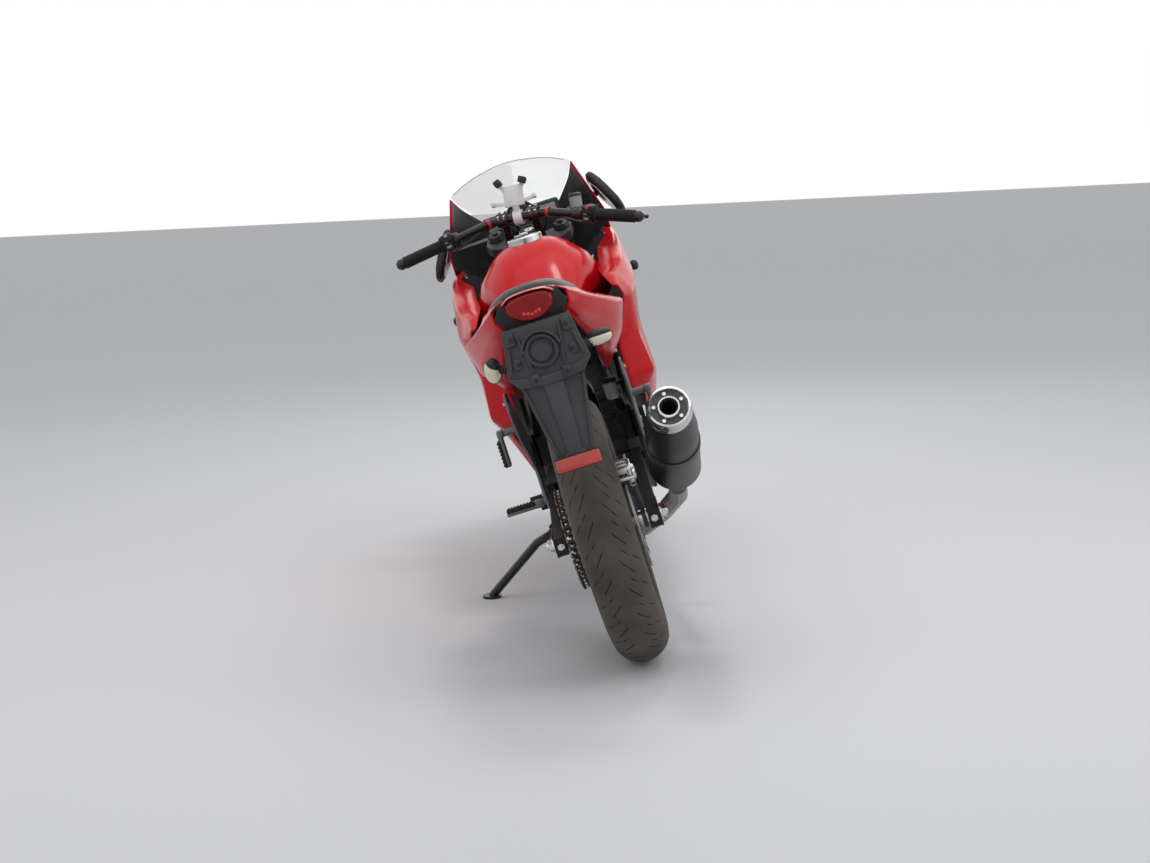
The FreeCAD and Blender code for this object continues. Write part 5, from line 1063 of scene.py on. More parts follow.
def make_caliper(name, hub, disc_x, angle, reach, side, body, node):
    """A caliper drawn above the hub, then turned round the axle to its place."""
    swing = Matrix.Translation(hub) @ Matrix.Rotation(angle, 4, "X")
    casting, pins, pads = bmesh.new(), bmesh.new(), bmesh.new()
    for half in (-1, 1):
        x = disc_x + half * 15
        rounded_box(casting, (14, 88, 44), (x, 0, reach), soften=5)
        rounded_box(casting, (12, 44, 18), (x + half * 2, 0, reach - 20), soften=5)
        rounded_box(pads, (4, 60, 26), (disc_x + half * 5.6, 0, reach - 10), soften=1)
    rounded_box(casting, (36, 20, 14), (disc_x, -33, reach + 17), soften=4)
    rounded_box(casting, (36, 20, 14), (disc_x, 33, reach + 17), soften=4)
    rounded_box(casting, (36, 14, 12), (disc_x, 0, reach + 18), soften=4)
    for y in (-23, 23):
        rod_between(casting, (disc_x + side * 20, y, reach), (disc_x + side * 27, y, reach), 13, 11.5, 28)
        rod_between(pins, (disc_x + side * 26, y, reach), (disc_x + side * 28.5, y, reach), 6, segments=6)
        rod_between(pins, (disc_x - 24, y * 2.1, reach + 2), (disc_x + 24, y * 2.1, reach + 2), 5,
                    segments=18)
    rod_between(pins, (disc_x + side * 14, 36, reach + 22), (disc_x + side * 14, 36, reach + 34), 3,
                segments=12)
    rod_between(pins, (disc_x + side * 14, 0, reach + 22), (disc_x + side * 14, 0, reach + 31), 7, segments=6)
    for shape in (casting, pins, pads):
        bmesh.ops.transform(shape, matrix=swing, verts=shape.verts)
    place_piece(name + "_casting", casting, cast_silver, body, [node], crease=40)
    place_piece(name + "_pins", pins, bright_steel, body, crease=30)
    place_piece(name + "_pads", pads, plate_grey, body)
    return swing


swing = make_caliper("rear_caliper", rear_hub, 70, math.radians(6), 108, 1, "chassis", "rear_caliper")
torque = bmesh.new()
bracket_outline = ((-20, 6), (20, 6), (34, 60), (46, 96), (30, 104), (-30, 104), (-46, 96), (-30, 60))
join(torque, plate_from([(82, y, z) for y, z in bracket_outline], (9, 0, 0), 1.6))
turn_about(torque, band(82, 91, 14.5, 26), (0, 0, 0), (1, 0, 0), 40)
bmesh.ops.transform(torque, matrix=swing, verts=torque.verts)
place_piece("rear_torque_bracket", torque, plate_grey, "chassis", crease=35)

# Brackets and pegs
# Cast grey hangers bolted behind the frame, folding rubber-topped pegs, and the rear brake's fluid cup.
grey_cast = finish("grey_cast", (0.17, 0.17, 0.175), 0.42, metal=0.4, grain=900, bump=0.2, mottle=0.1)
peg_rubber = finish("peg_rubber", (0.017, 0.016, 0.016), 0.75, grain=900, bump=0.5, mottle=0.2)
cup_white = finish("cup_white", (0.62, 0.62, 0.6), 0.3, grain=500, bump=0.06, mottle=0.12, coat=0.2)
hanger_outline = ((481, 300), (489, 400), (240, 520), (172, 600), (180, 640), (226, 640), (555, 470),
                  (565, 300))
hangers, hanger_bolts, pegs, peg_metal = bmesh.new(), bmesh.new(), bmesh.new(), bmesh.new()
for side in (-1, 1):
    points = [(side * 134.8, y, z) for y, z in hanger_outline]
    join(hangers, plate_from(points, (side * 7.6, 0, 0), 2.4, 3))
    for start, end in (((250, 540), (530, 420)), ((200, 612), (540, 452)), ((520, 400), (520, 320))):
        rod_between(hangers, (side * 142, start[0], start[1]), (side * 142, end[0], end[1]), 4, segments=12)
    for y, z in ((528, 440), (528, 330), (205, 618), (258, 546)):
        rod_between(hangers, (side * 141, y, z), (side * 145, y, z), 11, 10, 24)
        rod_between(hanger_bolts, (side * 144, y, z), (side * 149, y, z), 6.5, segments=6)
    rod_between(peg_metal, (side * 142, 500, 318), (side * 164, 500, 318), 9, segments=20)
    rounded_box(peg_metal, (24, 22, 20), (side * 160, 500, 317), soften=3)
    rounded_box(peg_metal, (78, 18, 9), (side * 206, 500, 312), soften=2)
    rounded_box(pegs, (76, 24, 9), (side * 206, 500, 321), soften=2.5)
    for i in range(9):
        rounded_box(pegs, (4.5, 25, 3), (side * (174 + i * 8), 500, 326), soften=1, segments=1)
    rod_between(peg_metal, (side * 142, 258, 546), (side * 180, 258, 546), 8.5, segments=20)
    rounded_box(peg_metal, (16, 24, 18), (side * 181, 258, 546), soften=3)
    rounded_box(peg_metal, (12, 26, 74), (side * 183, 258, 503), soften=4)
    rounded_box(pegs, (9, 28, 66), (side * 189, 258, 499), soften=3.5)
    for i in range(7):
        rounded_box(pegs, (3, 29, 3.6), (side * 194, 258, 472 + i * 9), soften=1, segments=1)
place_piece("footrest_hangers", hangers, grey_cast, "chassis", ["footrest_brackets"],
            crease=35)
place_piece("hanger_bolts", hanger_bolts, bright_steel, "chassis", crease=30)
place_piece("peg_rubbers", pegs, peg_rubber, "chassis", ["rider_pegs", "pillion_pegs"],
            crease=40)
place_piece("peg_frames", peg_metal, grey_cast, "chassis", crease=35)
cup, cup_cap = bmesh.new(), bmesh.new()
turn_about(cup, [(540, 1), (540, 13), (543, 16), (580, 16.4), (581, 14), (581, 1)], (99, 300, 0), (0, 0, 1),
           40)
for z in (552, 570):
    turn_about(cup, band(z, z + 1.2, 15, 16.9), (99, 300, 0), (0, 0, 1), 40)
turn_about(cup_cap, [(580.5, 1), (580.5, 18.6), (583, 19), (590, 18.6), (592, 16), (592, 1)], (99, 300, 0),
           (0, 0, 1), 40)
rounded_box(cup_cap, (26, 12, 10), (121, 300, 573), soften=2)
place_piece("brake_fluid_cup", cup, cup_white, "chassis", ["brake_reservoir"])
place_piece("brake_fluid_cap", cup_cap, black_plastic, "chassis")
show("foot_pedals", frame_black)
show("chain_guard", black_plastic)

# Rear shock
# A coil-over unit: dark body, bright rod, black spring wound in round wire, an eye at each end.
spring_black = finish("spring_black", (0.024, 0.024, 0.026), 0.35, grain=600, bump=0.06, coat=0.2)
shock_low, shock_high = Vector((0, 413.24, 412)), Vector((0, 430.24, 640))
shock_run = (shock_high - shock_low).normalized()
shock_length = (shock_high - shock_low).length
shock_frame = Matrix.Translation(shock_low) @ shock_run.to_track_quat("Z", "Y").to_matrix().to_4x4()
coil_steps, coil_turns = 200, 6.5
coil = []
for i in range(coil_steps):
    share = i / (coil_steps - 1)
    a = share * coil_turns * math.tau
    coil.append(shock_frame @ Vector((29 * math.cos(a), 29 * math.sin(a), 44 + share * 146)))
spring = tube_along("shock_wire", coil, 5, smooth=False)
place_piece("shock_spring", spring, spring_black, "chassis", ["rear_shock"])
body = bmesh.new()
turn_about(body,
           [(14, 1), (14, 18), (34, 22), (36, 36), (42, 36), (43, 22), (118, 22), (120, 9),
            (shock_length - 40, 9), (shock_length - 40, 35), (shock_length - 34, 35), (shock_length - 32, 20),
            (shock_length - 14, 15), (shock_length - 14, 1)], (0, 0, 0), (0, 0, 1), 40)
bmesh.ops.transform(body, matrix=shock_frame, verts=body.verts)
for centre in (shock_low, shock_high):
    turn_about(body, band(-15, 15, 8.2, 15), centre, (1, 0, 0), 36)
place_piece("shock_body", body, plate_grey, "chassis", crease=30)

# Side stand
# A bent steel bar in satin black, flattened to an eye at its pivot, with a welded foot.
show("side_stand", satin_black)

# Frame, engine and hidden metalwork
# Tubes in satin black, a cast engine with finned cylinder and bolted covers, and the parts that
# the bodywork mostly hides.
engine_grey = finish("engine_grey", (0.075, 0.075, 0.08), 0.5, metal=0.5, grain=900, bump=0.3, mottle=0.15)
pipe_steel = finish("pipe_steel", (0.3, 0.27, 0.24), 0.36, metal=1, grain=900, bump=0.12, mottle=0.3)
fin_alloy = finish("fin_alloy", (0.2, 0.2, 0.21), 0.45, metal=0.8, grain=900, bump=0.2, mottle=0.15)
for node in ("frame", "engine_cradle", "subframe", "nose_stay"):
    show(node, frame_black)
show("undertray", black_plastic)
show("inner_liners", finish("liner_grey", (0.16, 0.16, 0.165), 0.5, grain=850, bump=0.3, mottle=0.12))
show("engine", engine_grey)
show("exhaust_header", pipe_steel)
show("radiator", fin_alloy)
fins = bmesh.new()
tilt = math.radians(20)
for i in range(8):
    rise = 16 + i * 10
    spot = Vector((0, 774.24 + math.sin(tilt) * rise, 400 + math.cos(tilt) * rise))
    rounded_box(fins, (178, 136, 3), spot, Matrix.Rotation(-tilt, 3, "X"), soften=1, segments=1)
covers = bmesh.new()
turn_about(covers, [(134, 60), (140, 62), (150, 58), (152, 40), (153, 1), (146, 1), (134, 2)],
           (0, 689.24, 320), (1, 0, 0), 64)
for i in range(9):
    a = math.tau * i / 9
    rod_between(covers, (133, 689.24 + 75 * math.cos(a), 320 + 75 * math.sin(a)),
                (139, 689.24 + 75 * math.cos(a), 320 + 75 * math.sin(a)), 6, segments=6)
turn_about(covers, [(-140, 1), (-143, 1), (-143, 60), (-138, 70), (-132, 72), (-132, 2)], (0, 809.24, 320),
           (1, 0, 0), 64)
place_piece("cylinder_fins", fins, engine_grey, "chassis", crease=30)
place_piece("engine_covers", covers, engine_grey, "chassis", crease=30)
core = bmesh.new()
for i in range(42):
    rounded_box(core, (264, 29, 1.4), (0, 1008.2, 345 + i * 5.1), soften=0.3, segments=1)
place_piece("radiator_fins", core, fin_alloy, "chassis", crease=30)

# Fork and yokes
# Chromed tubes in cast sliders, held by two yokes on a hollow stem; the top yoke is bright in its
# middle, its lock sits in a dark ring, and its caps are black.
chrome = finish("chrome", (0.72, 0.72, 0.73), 0.08, metal=1, grain=900, bump=0.02, mottle=0.05, spread=0.03)
slider_grey = finish("slider_grey", (0.3, 0.3, 0.31), 0.34, metal=0.8, grain=900, bump=0.12, mottle=0.1)
yoke_silver = finish("yoke_silver", (0.5, 0.5, 0.51), 0.36, metal=0.85, grain=1000, bump=0.15, mottle=0.1)
show("fork_tubes", chrome)
show("fork_sliders", slider_grey)
show("yokes", plate_grey)
show("front_axle", bright_steel)
head_top = 718.7
leg_x, leg_offset = 93, 36


def on_fork(x, along, ahead=0.0):
    return steer_foot + steer_line * along + steer_back * ahead + Vector((x, 0, 0))


caps, lock_ring, lock_face = bmesh.new(), bmesh.new(), bmesh.new()
for side in (-1, 1):
    turn_about(caps, [(13, 1), (13, 23), (17, 23), (22, 20), (27, 19), (29, 15), (29, 1)],
               on_fork(side * leg_x, head_top, leg_offset), steer_line, 40)
    rod_between(caps, on_fork(side * leg_x, head_top + 28, leg_offset),
                on_fork(side * leg_x, head_top + 34, leg_offset), 8, segments=6)
turn_about(caps, [(13, 1), (13, 20), (18, 20), (21, 16), (24, 15), (24, 1)], on_fork(0, head_top), steer_line,
           6)
turn_about(lock_ring, [(12, 15), (12, 24), (20, 25), (23, 22), (23, 15)], on_fork(0, head_top, 44),
           steer_line, 40)
turn_about(lock_face, [(12, 1), (12, 15), (20, 15), (21, 13), (21, 1)], on_fork(0, head_top, 44), steer_line,
           40)
rounded_box(lock_face, (3, 12, 4), on_fork(0, head_top + 21.5, 44), soften=0.6)
place_piece("yoke_caps", caps, satin_black, "fork", crease=30)
yoke_face = bmesh.new()
rounded_box(yoke_face, (58, 62, 2), on_fork(0, head_top + 13.2, 24), Matrix.Rotation(rake, 3, "X"), soften=1)
place_piece("yoke_face", yoke_face, yoke_silver, "fork", crease=30)
place_piece("ignition_ring", lock_ring, black_plastic, "fork")
place_piece("ignition_lock", lock_face, bright_steel, "fork", crease=30)

# Handlebar and grips
# A raised tubular bar in black paint, ribbed rubber grips and polished end weights.
bar_black = finish("bar_black", (0.01, 0.01, 0.011), 0.2, grain=500, bump=0.04, mottle=0.1, coat=0.15,
                   shine=0.3)
grip_rubber = finish("grip_rubber", (0.01, 0.01, 0.01), 0.7, grain=1100, bump=0.55, mottle=0.2, shine=0.3)
bar_middle = on_fork(0, head_top + 94, -14)
bar_half = 328
bar_route = [(0, 0, 0), (78, 0, 0), (132, -19, -13), (bar_half, -62, -58)]


def bar_at(distance):
    """A point on the right half of the bar by its x."""
    for (x0, y0, z0), (x1, y1, z1) in zip(bar_route, bar_route[1:]):
        if distance <= x1 or x1 == bar_half:
            share = (distance - x0) / (x1 - x0)
            return bar_middle + Vector((distance, y0 + (y1 - y0) * share, z0 + (z1 - z0) * share))


def flip(point):
    return Vector((-point[0], point[1], point[2]))


def rounded_route(points, radius, steps=8):
    """The same route with its corners drawn as arcs."""
    route = [Vector(points[0])]
    for before, corner, after in zip(points, points[1:], points[2:]):
        before, corner, after = Vector(before), Vector(corner), Vector(after)
        back, on = (before - corner).normalized() * radius, (after - corner).normalized() * radius
        for i in range(steps + 1):
            t = i / steps
            route.append((corner + back) * (1 - t) ** 2 + corner * 2 * t * (1 - t) + (corner + on) * t ** 2)
    route.append(Vector(points[-1]))
    return route


bar_points = [bar_at(bar_half), bar_at(132), bar_at(78)]
bar_points = [flip(p) for p in bar_points] + bar_points[::-1]
bar_shape = tube_along("bar", rounded_route(bar_points, 22), 11, sides=12, smooth=False)
for side in (-1, 1):
    foot, head = on_fork(side * 44, head_top + 13, -14), bar_middle + Vector((side * 44, 0, 0))
    rod_between(bar_shape, foot, head, 13.5, 12, 28)
    rod_between(bar_shape, head - Vector((15, 0, 0)), head + Vector((15, 0, 0)), 19, segments=32)
place_piece("handlebar_tube", bar_shape, bar_black, "fork", ["handlebar"], crease=35)
clamp_bolts = bmesh.new()
for side in (-1, 1):
    for x in (36, 52):
        for y in (-13, 13):
            spot = bar_middle + Vector((side * x, 0, 0)) + steer_back * y
            rod_between(clamp_bolts, spot + steer_line * 10, spot + steer_line * 20, 3.6, segments=12)
place_piece("clamp_bolts", clamp_bolts, bright_steel, "fork", crease=30)
grips, weights = bmesh.new(), bmesh.new()
for side in (-1, 1):
    start, end = bar_at(213), bar_at(bar_half)
    if side < 0:
        start, end = flip(start), flip(end)
    run = end - start
    profile = [(0, 11.5), (0, 22), (4, 22.5), (6, 17)]
    for i in range(26):
        at = 9 + i * 3.9
        profile += [(at, 16.8), (at + 0.7, 15.8), (at + 2, 15.8), (at + 2.7, 16.8)]
    profile += [(113, 17), (115, 15), (115, 11.5)]
    turn_about(grips, profile, start, run, 32)
    turn_about(weights, [(115.5, 1), (115.5, 14), (118, 15), (128, 15), (131, 13), (137, 8), (137, 1)], start,
               run, 36)
place_piece("rubber_grips", grips, grip_rubber, "fork", ["grips"], crease=30)
place_piece("bar_end_weights", weights, satin_black, "fork", crease=30)

# Switches and levers
# Moulded switch boxes with a rocker, a slide and a button, forged levers with a ball end, and the
# front brake's master cylinder with its fluid cup.
lever_black = finish("lever_black", (0.014, 0.014, 0.015), 0.28, grain=900, bump=0.1, mottle=0.12, shine=0.4)
button_red = finish("button_red", (0.5, 0.02, 0.015), 0.4, grain=600, bump=0.1)
button_grey = finish("button_grey", (0.3, 0.3, 0.3), 0.5, grain=600, bump=0.15)
lever_outline = ((-6, -8), (40, 20), (104, 2), (152, -12), (158, -4), (152, 2), (106, 14), (40, 34), (-8, 8))


def on_side(side, point):
    """The point itself on the right, its mirror image on the left."""
    return Vector(point) if side > 0 else flip(point)


boxes, blades, knobs, red_knobs = bmesh.new(), bmesh.new(), bmesh.new(), bmesh.new()
for side in (-1, 1):
    start, end = on_side(side, bar_at(187)), on_side(side, bar_at(210))
    run = (end - start).normalized()
    turn = (run * side).to_track_quat("X", "Z").to_matrix()
    middle = (start + end) / 2
    rounded_box(boxes, (21, 46, 50), middle + Vector((0, -1, 0)), turn, soften=5)
    rounded_box(boxes, (30, 30, 22), middle + turn @ Vector((2, -14, 14)), turn, soften=4)
    rod_between(boxes, middle - run * 15, middle + run * 13, 21, segments=32)
    rounded_box(knobs, (9, 5, 14), middle + turn @ Vector((-3, -25.5, 8)), turn, soften=1.2)
    rounded_box(knobs, (12, 5, 6), middle + turn @ Vector((0, -25.5, -10)), turn, soften=1.2)
    button = red_knobs if side > 0 else knobs
    rod_between(button, middle + turn @ Vector((3, -22, 20)), middle + turn @ Vector((3, -31, 22)), 5.5, 4.8,
                20)
    clamp = on_side(side, bar_at(174))
    heading = (on_side(side, bar_at(bar_half)) - clamp).normalized()
    fulcrum = clamp + Vector((side * 14, 38, 2))
    turn_about(blades, [(-8, 11.3), (-8, 17), (-6, 18), (6, 18), (8, 17), (8, 11.3)], clamp, heading, 32)
    rod_between(blades, clamp + Vector((side * 3, 16, 1)), fulcrum, 8, segments=12)
    rod_between(blades, fulcrum - Vector((0, 0, 9)), fulcrum + Vector((0, 0, 9)), 11, segments=24)
    rod_between(knobs, fulcrum + Vector((0, 0, 9)), fulcrum + Vector((0, 0, 12)), 5, segments=6)
    points = [fulcrum + Vector((side * x, y, -x * 0.3 - 4.5)) for x, y in lever_outline]
    join(blades, plate_from(points, (0, 0, 9), 2.6, 3))
    egg(blades, fulcrum + Vector((side * 153, -5, -46)), (6, 6, 6), (0, 0, 1))
place_piece("switch_boxes", boxes, black_plastic, "fork", ["switch_housings"],
            crease=40)
place_piece("lever_blades", blades, lever_black, "fork", ["levers"], crease=40)
place_piece("switch_knobs", knobs, button_grey, "fork", crease=35)
place_piece("stop_switch", red_knobs, button_red, "fork", crease=35)
cylinder, brake_cup, clips = bmesh.new(), bmesh.new(), bmesh.new()
foot = bar_at(160) + Vector((0, 30, 8))
turn_about(cylinder, band(-8, 8, 11.3, 17), bar_at(164), bar_at(172) - bar_at(156), 32)
rod_between(cylinder, bar_at(160) + Vector((0, 15, 2)), foot, 9, segments=20)
rod_between(cylinder, foot + Vector((-26, 3, 2)), foot + Vector((18, -3, -1)), 9, segments=24)
turn_about(brake_cup, [(2, 1), (2, 14), (5, 16.4), (34, 16.8), (34, 1)], foot + Vector((0, 1, 0)),
           (0, 0.14, 1), 36)
turn_about(cylinder, [(34, 1), (34, 17), (36, 17.4), (42, 17), (44, 14), (44, 1)], foot + Vector((0, 1, 0)),
           (0, 0.14, 1), 36)
for side in (-1, 1):
    spot, next_spot = on_side(side, bar_at(84)), on_side(side, bar_at(88))
    turn_about(clips, band(-4, 4, 11.3, 13.6), spot, next_spot - spot, 28)
place_piece("brake_master_cylinder", cylinder, lever_black, "fork", crease=35)
place_piece("front_fluid_cup", brake_cup, button_grey, "fork", crease=35)
place_piece("cable_clips", clips, button_red, "fork", crease=35)

# Front brake line and clutch cable
# Rubber-covered lines. The brake line runs whole from the master cylinder to the front caliper, both
# on the fork; the clutch and throttle cables and the switches' loom tuck in under the upper yoke.
hose_black = finish("hose_black", (0.015, 0.015, 0.015), 0.45, grain=900, bump=0.15)
brake_line = tube_along("brake_line",
                        [foot + Vector((-26, 3, 2)), foot + Vector((-46, 6, 4)),
                         bar_middle + Vector((84, 46, 2)), on_fork(40, 770, 66), on_fork(-8, 722, 82),
                         on_fork(-44, 696, 84), on_fork(-62, 672, 66), on_fork(-64, 650, 50),
                         on_fork(-66, 612, 50), on_fork(-70, 575, 76), on_fork(-64, 490, 70),
                         on_fork(-64, 425, 14), on_fork(-82, 370, -4), on_fork(-90, 290, -6),
                         on_fork(-88, 220, -22), on_fork(-82, 150, -66), on_fork(-73, 118, -92),
                         on_fork(-72, 101, -85)], 3.4, steps=8)
place_piece("front_brake_line", brake_line, hose_black, "fork", crease=60)
left_fulcrum = flip(bar_at(174)) + Vector((-14, 38, 2))
clutch_cable = tube_along("clutch_cable", [
    left_fulcrum + Vector((12, 4, 0)), left_fulcrum + Vector((44, 12, 4)), bar_middle + Vector((-96, 54, 6)),
    on_fork(-54, 762, 74), on_fork(-36, 716, 80), on_fork(-30, 694, 70), on_fork(-26, 686, 50)], 3.2)
throttle = tube_along("throttle",
                      [bar_at(186) + Vector((-2, 14, -18)), bar_at(160) + Vector((0, 40, -26)),
                       bar_middle + Vector((96, 62, -22)), on_fork(56, 750, 78), on_fork(36, 714, 80),
                       on_fork(28, 694, 70), on_fork(24, 686, 50)], 3.2)
loom = tube_along("loom",
                  [flip(bar_at(190)) + Vector((6, -4, -24)), flip(bar_at(150)) + Vector((0, 10, -22)),
                   flip(bar_at(90)) + Vector((0, 22, -12)), on_fork(-62, 752, 72), on_fork(-20, 716, 82),
                   on_fork(-12, 696, 72), on_fork(-8, 688, 52)], 4.4)
for extra in (throttle, loom):
    join(clutch_cable, extra)
place_piece("control_cables", clutch_cable, hose_black, "fork", crease=60)

# Phone holder
# A generic claw mount: a clamp on the bar's middle, a white cross with black rubber upper claws.
holder_white = finish("holder_white", (0.74, 0.74, 0.73), 0.5, grain=700, bump=0.1, mottle=0.08)
holder, claws = bmesh.new(), bmesh.new()
base = bar_middle + Vector((0, -4, 11.4))
tip_back = Matrix.Translation(base + Vector((0, -5, 24))) @ Matrix.Rotation(math.radians(-12), 4, "X")
turn_about(holder, band(-12, 12, 11.2, 20), bar_middle, (1, 0, 0), 40)
rod_between(holder, base, base + Vector((0, -6, 27)), 9, segments=28)
plate = bmesh.new()
rounded_box(plate, (56, 7, 58), (0, -3, 24), soften=3)
for x0, z0, x1, z1 in ((-20, 30, -36, 62), (20, 30, 32, 60), (-24, 6, -58, 8), (24, 6, 58, 12)):
    start, end = Vector((x0, -3, z0)), Vector((x1, -3, z1))
    run = (end - start).normalized()
    lean = Matrix.Rotation(math.atan2(run.x, run.z), 3, "Y")
    rounded_box(plate, (10, 5.6, (end - start).length + 8), (start + end) / 2, lean, soften=2)
    hook = bmesh.new()
    size = (19, 24, 17) if z1 > 40 else (13, 22, 8)
    rounded_box(hook, size, end + Vector((0, -8, 0)), lean, soften=2.4)
    bmesh.ops.transform(hook, matrix=tip_back, verts=hook.verts)
    join(claws if z1 > 40 else holder, hook)
bmesh.ops.transform(plate, matrix=tip_back, verts=plate.verts)
join(holder, plate)
place_piece("phone_cross", holder, holder_white, "fork", ["phone_holder"], crease=40)
place_piece("phone_claws", claws, peg_rubber, "fork", crease=40)

# Mirrors
# Folded black mirrors: a moulded shell, a glass set in its rim, and a short cranked stalk.
mirror_glass = finish("mirror_glass", (0.45, 0.47, 0.5), 0.04, metal=1, grain=300, bump=0.0, mottle=0.03,
                      spread=0.01)
mirror_sizes = ((0, 22, 8), (0.06, 30, 12), (0.25, 37, 15), (0.5, 38, 15), (0.8, 35, 13), (0.95, 24, 9),
                (1.0, 18, 7))
shells, stalks, glasses = bmesh.new(), bmesh.new(), bmesh.new()
for side, drop in ((1, 0), (-1, 32)):
    inner, outer = Vector((210, 1237.23, 1037 - drop)), Vector((276, 1187.23, 919 - drop))
    run = (outer - inner).normalized()
    face = Vector((0.75, 0.25, 0.5)).cross(run).normalized()
    deep = run.cross(face).normalized()
    rows = []
    for share, half_w, half_d in mirror_sizes:
        middle = inner + (outer - inner) * share
        row = []
        for i in range(16):
            a = math.tau * (i + 0.5) / 16
            wide = math.copysign(abs(math.cos(a)) ** 0.6, math.cos(a))
            thick = math.copysign(abs(math.sin(a)) ** 0.6, math.sin(a))
            row.append(middle + face * wide * half_w + deep * thick * half_d)
        rows.append(row)
    back = -1 if deep.y > 0 else 1
    pane = []
    for i in range(32):
        a = math.tau * i / 32
        along = (outer - inner) * (0.5 + 0.4 * math.cos(a))
        pane.append(inner + along + face * 28 * math.sin(a) + deep * back * (14.6 - 1.6 * abs(math.cos(a))))
    stalk = (Vector((200, 1262, 984)), (inner + outer) / 2 + Vector((0, 14, 0)))
    if side < 0:
        rows = [[flip(p) for p in row] for row in rows]
        pane = [flip(p) for p in pane]
        stalk = tuple(flip(p) for p in stalk)
    shell, grid = loft(rows, wrap=True)
    shell.faces.new(grid[0])
    shell.faces.new(grid[-1])
    bmesh.ops.recalc_face_normals(shell, faces=shell.faces)
    join(shells, shell)
    join(glasses, plate_from(pane, Vector((side * deep.x, deep.y, deep.z)) * back * 0.8))
    rod_between(stalks, stalk[0], stalk[1], 8, 7, 18)
    rod_between(stalks, stalk[0], stalk[0] + (stalk[1] - stalk[0]).normalized() * 6, 14, 12, 24)
place_piece("mirror_shells", shells, black_plastic, "chassis", ["mirrors"], crease=40)
place_piece("mirror_glasses", glasses, mirror_glass, "chassis", crease=30)
place_piece("mirror_stalks", stalks, satin_black, "chassis", crease=40)

# Dash
# One moulded pod on a stay, with a round dial in a raised ring and a display on each side of it.
dial_face = finish("dial_face", (0.03, 0.03, 0.032), 0.4, grain=400, bump=0.02)
dial_white = finish("dial_white", (0.75, 0.75, 0.73), 0.5, grain=400, bump=0.02)
display_grey = finish("display_grey", (0.22, 0.25, 0.22), 0.2, grain=200, bump=0.01, coat=0.5)
pod, face_plate, ticks, display = bmesh.new(), bmesh.new(), bmesh.new(), bmesh.new()
rounded_box(pod, (222, 32, 70), (0, 1194, 975), soften=9, segments=4)
turn_about(pod, [(0, 40), (0, 46), (-10, 46), (-12, 43), (-4, 40)], (0, 1176, 985), (0, 1, 0), 56)
rounded_box(pod, (40, 88, 18), (0, 1242, 940.5), soften=3)
rod_between(face_plate, (0, 1173, 985), (0, 1178, 985), 40.5, segments=48)
for i in range(27):
    a = math.radians(225 - i * 10.4)
    long = 6 if i % 3 == 0 else 3.4
    spot = Vector((35 * math.cos(a), 1172.6, 985 + 35 * math.sin(a)))
    rounded_box(ticks, (long, 0.8, 1.1), spot, Matrix.Rotation(-a, 3, "Y"), soften=0.2, segments=1)
rounded_box(ticks, (30, 1, 1.6), (10, 1171.6, 994), Matrix.Rotation(math.radians(-40), 3, "Y"), soften=0.4,
            segments=1)
rounded_box(display, (46, 3, 30), (-76, 1177, 984), soften=1.2)
rounded_box(display, (46, 3, 30), (76, 1177, 984), soften=1.2)
place_piece("dash_pod", pod, black_plastic, "chassis", ["instrument_panel"], crease=40)
place_piece("dial_face", face_plate, dial_face, "chassis", crease=30)
place_piece("dial_ticks", ticks, dial_white, "chassis", crease=30)
place_piece("dash_displays", display, display_grey, "chassis", crease=30)

# Cockpit shrouds
# Black moulded walls inside the fairing, beside the tank's nose, that close the view to the ground.
shroud_outlines = (
    (962, ((104, 700), (222, 690), (239, 790), (232, 858), (206, 862), (150, 820), (112, 800))),
    (1120, ((150, 720), (212, 690), (234, 790), (229, 870), (206, 874), (170, 870), (150, 800))),
)
shrouds = bmesh.new()
for side in (-1, 1):
    for y, outline in shroud_outlines:
        join(shrouds, plate_from([(side * x, y, z) for x, z in outline], (0, 3, 0), 0.8))
place_piece("cockpit_shrouds", shrouds, black_plastic, "chassis", crease=40)

# Headlamp
# A clear lens in the nose, and before it two small projector lenses in dark surrounds.
lamp_glass = finish("lamp_glass", (0.62, 0.64, 0.66), 0.08, grain=400, bump=0.06, mottle=0.06, coat=0.8,
                    spread=0.02)
head_rows = (
    (1407.5, ((0, 899), (60, 893), (90, 886), (108, 850), (88, 808), (0, 802))),
    (1470, ((0, 890), (50, 880), (68, 866), (76, 838), (60, 808), (0, 802))),
    (1500.6, ((0, 872), (30, 864), (40, 856), (48, 832), (36, 808), (0, 802))),
)
head_lens, grid = loft(whole_rows(head_rows), wrap=True)
for end in (grid[0], grid[-1]):
    head_lens.faces.new(end)
bmesh.ops.recalc_face_normals(head_lens, faces=head_lens.faces)
smooth_skin("headlamp_lens", head_lens, lamp_glass, "chassis", ["headlamp"])
mask_lens, bulbs = bmesh.new(), bmesh.new()
for side in (-1, 1):
    egg(mask_lens, (side * 26, 1506, 846), (20, 14, 5), (side * 0.25, 1, 0.1))
    egg(bulbs, (side * 26, 1504, 846), (23, 17, 4.4), (side * 0.25, 1, 0.1))
place_piece("headlamp_projectors", mask_lens, lamp_glass, "chassis")
place_piece("headlamp_surrounds", bulbs, black_plastic, "chassis")

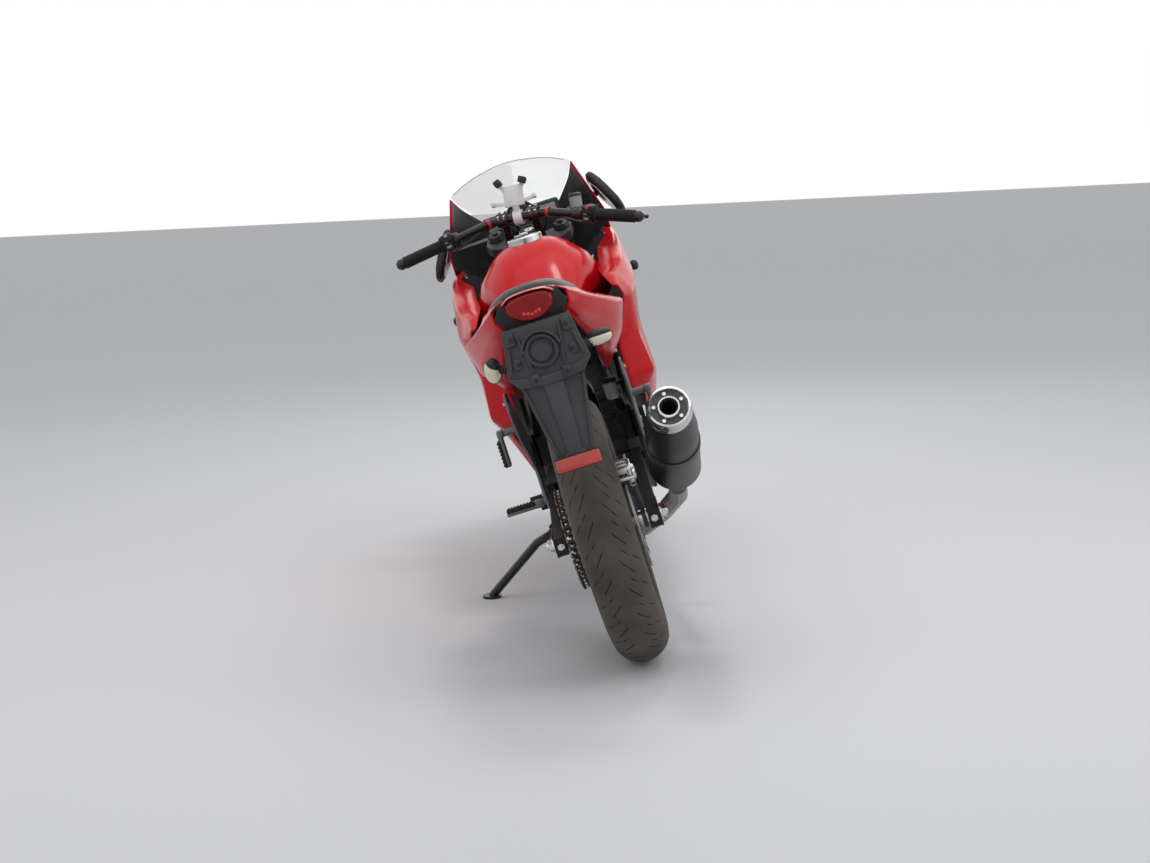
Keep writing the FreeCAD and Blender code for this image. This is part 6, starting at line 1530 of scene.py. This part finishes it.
# Front mudguard and brake
# A red moulded mudguard bolted to the fork sliders, and a caliper over the disc, behind the left leg.
guard_rows = []
guard_radius = front_radius + 16
for degrees in range(-4, 156, 8):
    a = math.radians(degrees)
    drop = 18 + 12 * max(0, 1 - abs(degrees - 85) / 55)
    guard_rows.append([on_circle(front_hub, a, guard_radius + r) + across * x
                       for x, r in ((-63, -drop), (-62, -9), (-58, 1), (-36, 11), (-18, 14.6), (0, 15.6),
                                    (18, 14.6), (36, 11), (58, 1), (62, -9), (63, -drop))])
guard, grid = loft(guard_rows)
face_out(guard, (0, 1, 1))
smooth_skin("front_mudguard", guard, red_gloss, "fork", ["front_fender"], thick=3,
            inner=red_dull)
guard_tabs = bmesh.new()
for side in (-1, 1):
    for along in (210, 280):
        rod_between(guard_tabs, on_fork(side * 58, along, leg_offset),
                    on_fork(side * 68.6, along, leg_offset), 12, segments=28)
        rod_between(guard_tabs, on_fork(side * 56.5, along, leg_offset),
                    on_fork(side * 60, along, leg_offset), 7, segments=6)
place_piece("mudguard_bosses", guard_tabs, satin_black, "fork", crease=35)
make_caliper("front_caliper", front_hub, -58, math.radians(80), 141, -1, "fork", "front_caliper")

# Fuel filler
# A bright ring with countersunk screws round a keyed, hinged cap.
ring, screws = bmesh.new(), bmesh.new()
cap_centre = Vector((0, 775.24, 941))
turn_about(ring, [(-13, 35.2), (-13, 46), (5, 47), (8, 45), (8, 36.5), (6.5, 35.2)], cap_centre, (0, 0, 1),
           72)
for side in (-1, 1):
    rounded_box(ring, (4.4, 8, 10), cap_centre + Vector((side * 8.8, 40, 11)), soften=1.2)
rod_between(ring, cap_centre + Vector((-9, 40, 12)), cap_centre + Vector((9, 40, 12)), 2, segments=16)
for i in range(5):
    a = math.tau * (i + 0.75) / 5
    spot = cap_centre + Vector((41 * math.cos(a), 41 * math.sin(a), 8))
    rod_between(screws, spot - Vector((0, 0, 2)), spot + Vector((0, 0, 1.2)), 3.4, 2.8, 18)
place_piece("filler_ring", ring, end_silver, "chassis", crease=30)
place_piece("filler_screws", screws, plate_grey, "chassis", crease=30)
show("fuel_cap", end_silver)
lock_flap = bmesh.new()
rounded_box(lock_flap, (15, 24, 3), cap_centre + Vector((0, -6, 10)), soften=1.2)
turn_about(lock_flap, [(8.8, 1), (8.8, 24), (10, 24), (10.4, 22), (10.4, 1)], cap_centre, (0, 0, 1), 48)
place_piece("cap_lock_flap", lock_flap, plate_grey, "fuel_cap", crease=30)
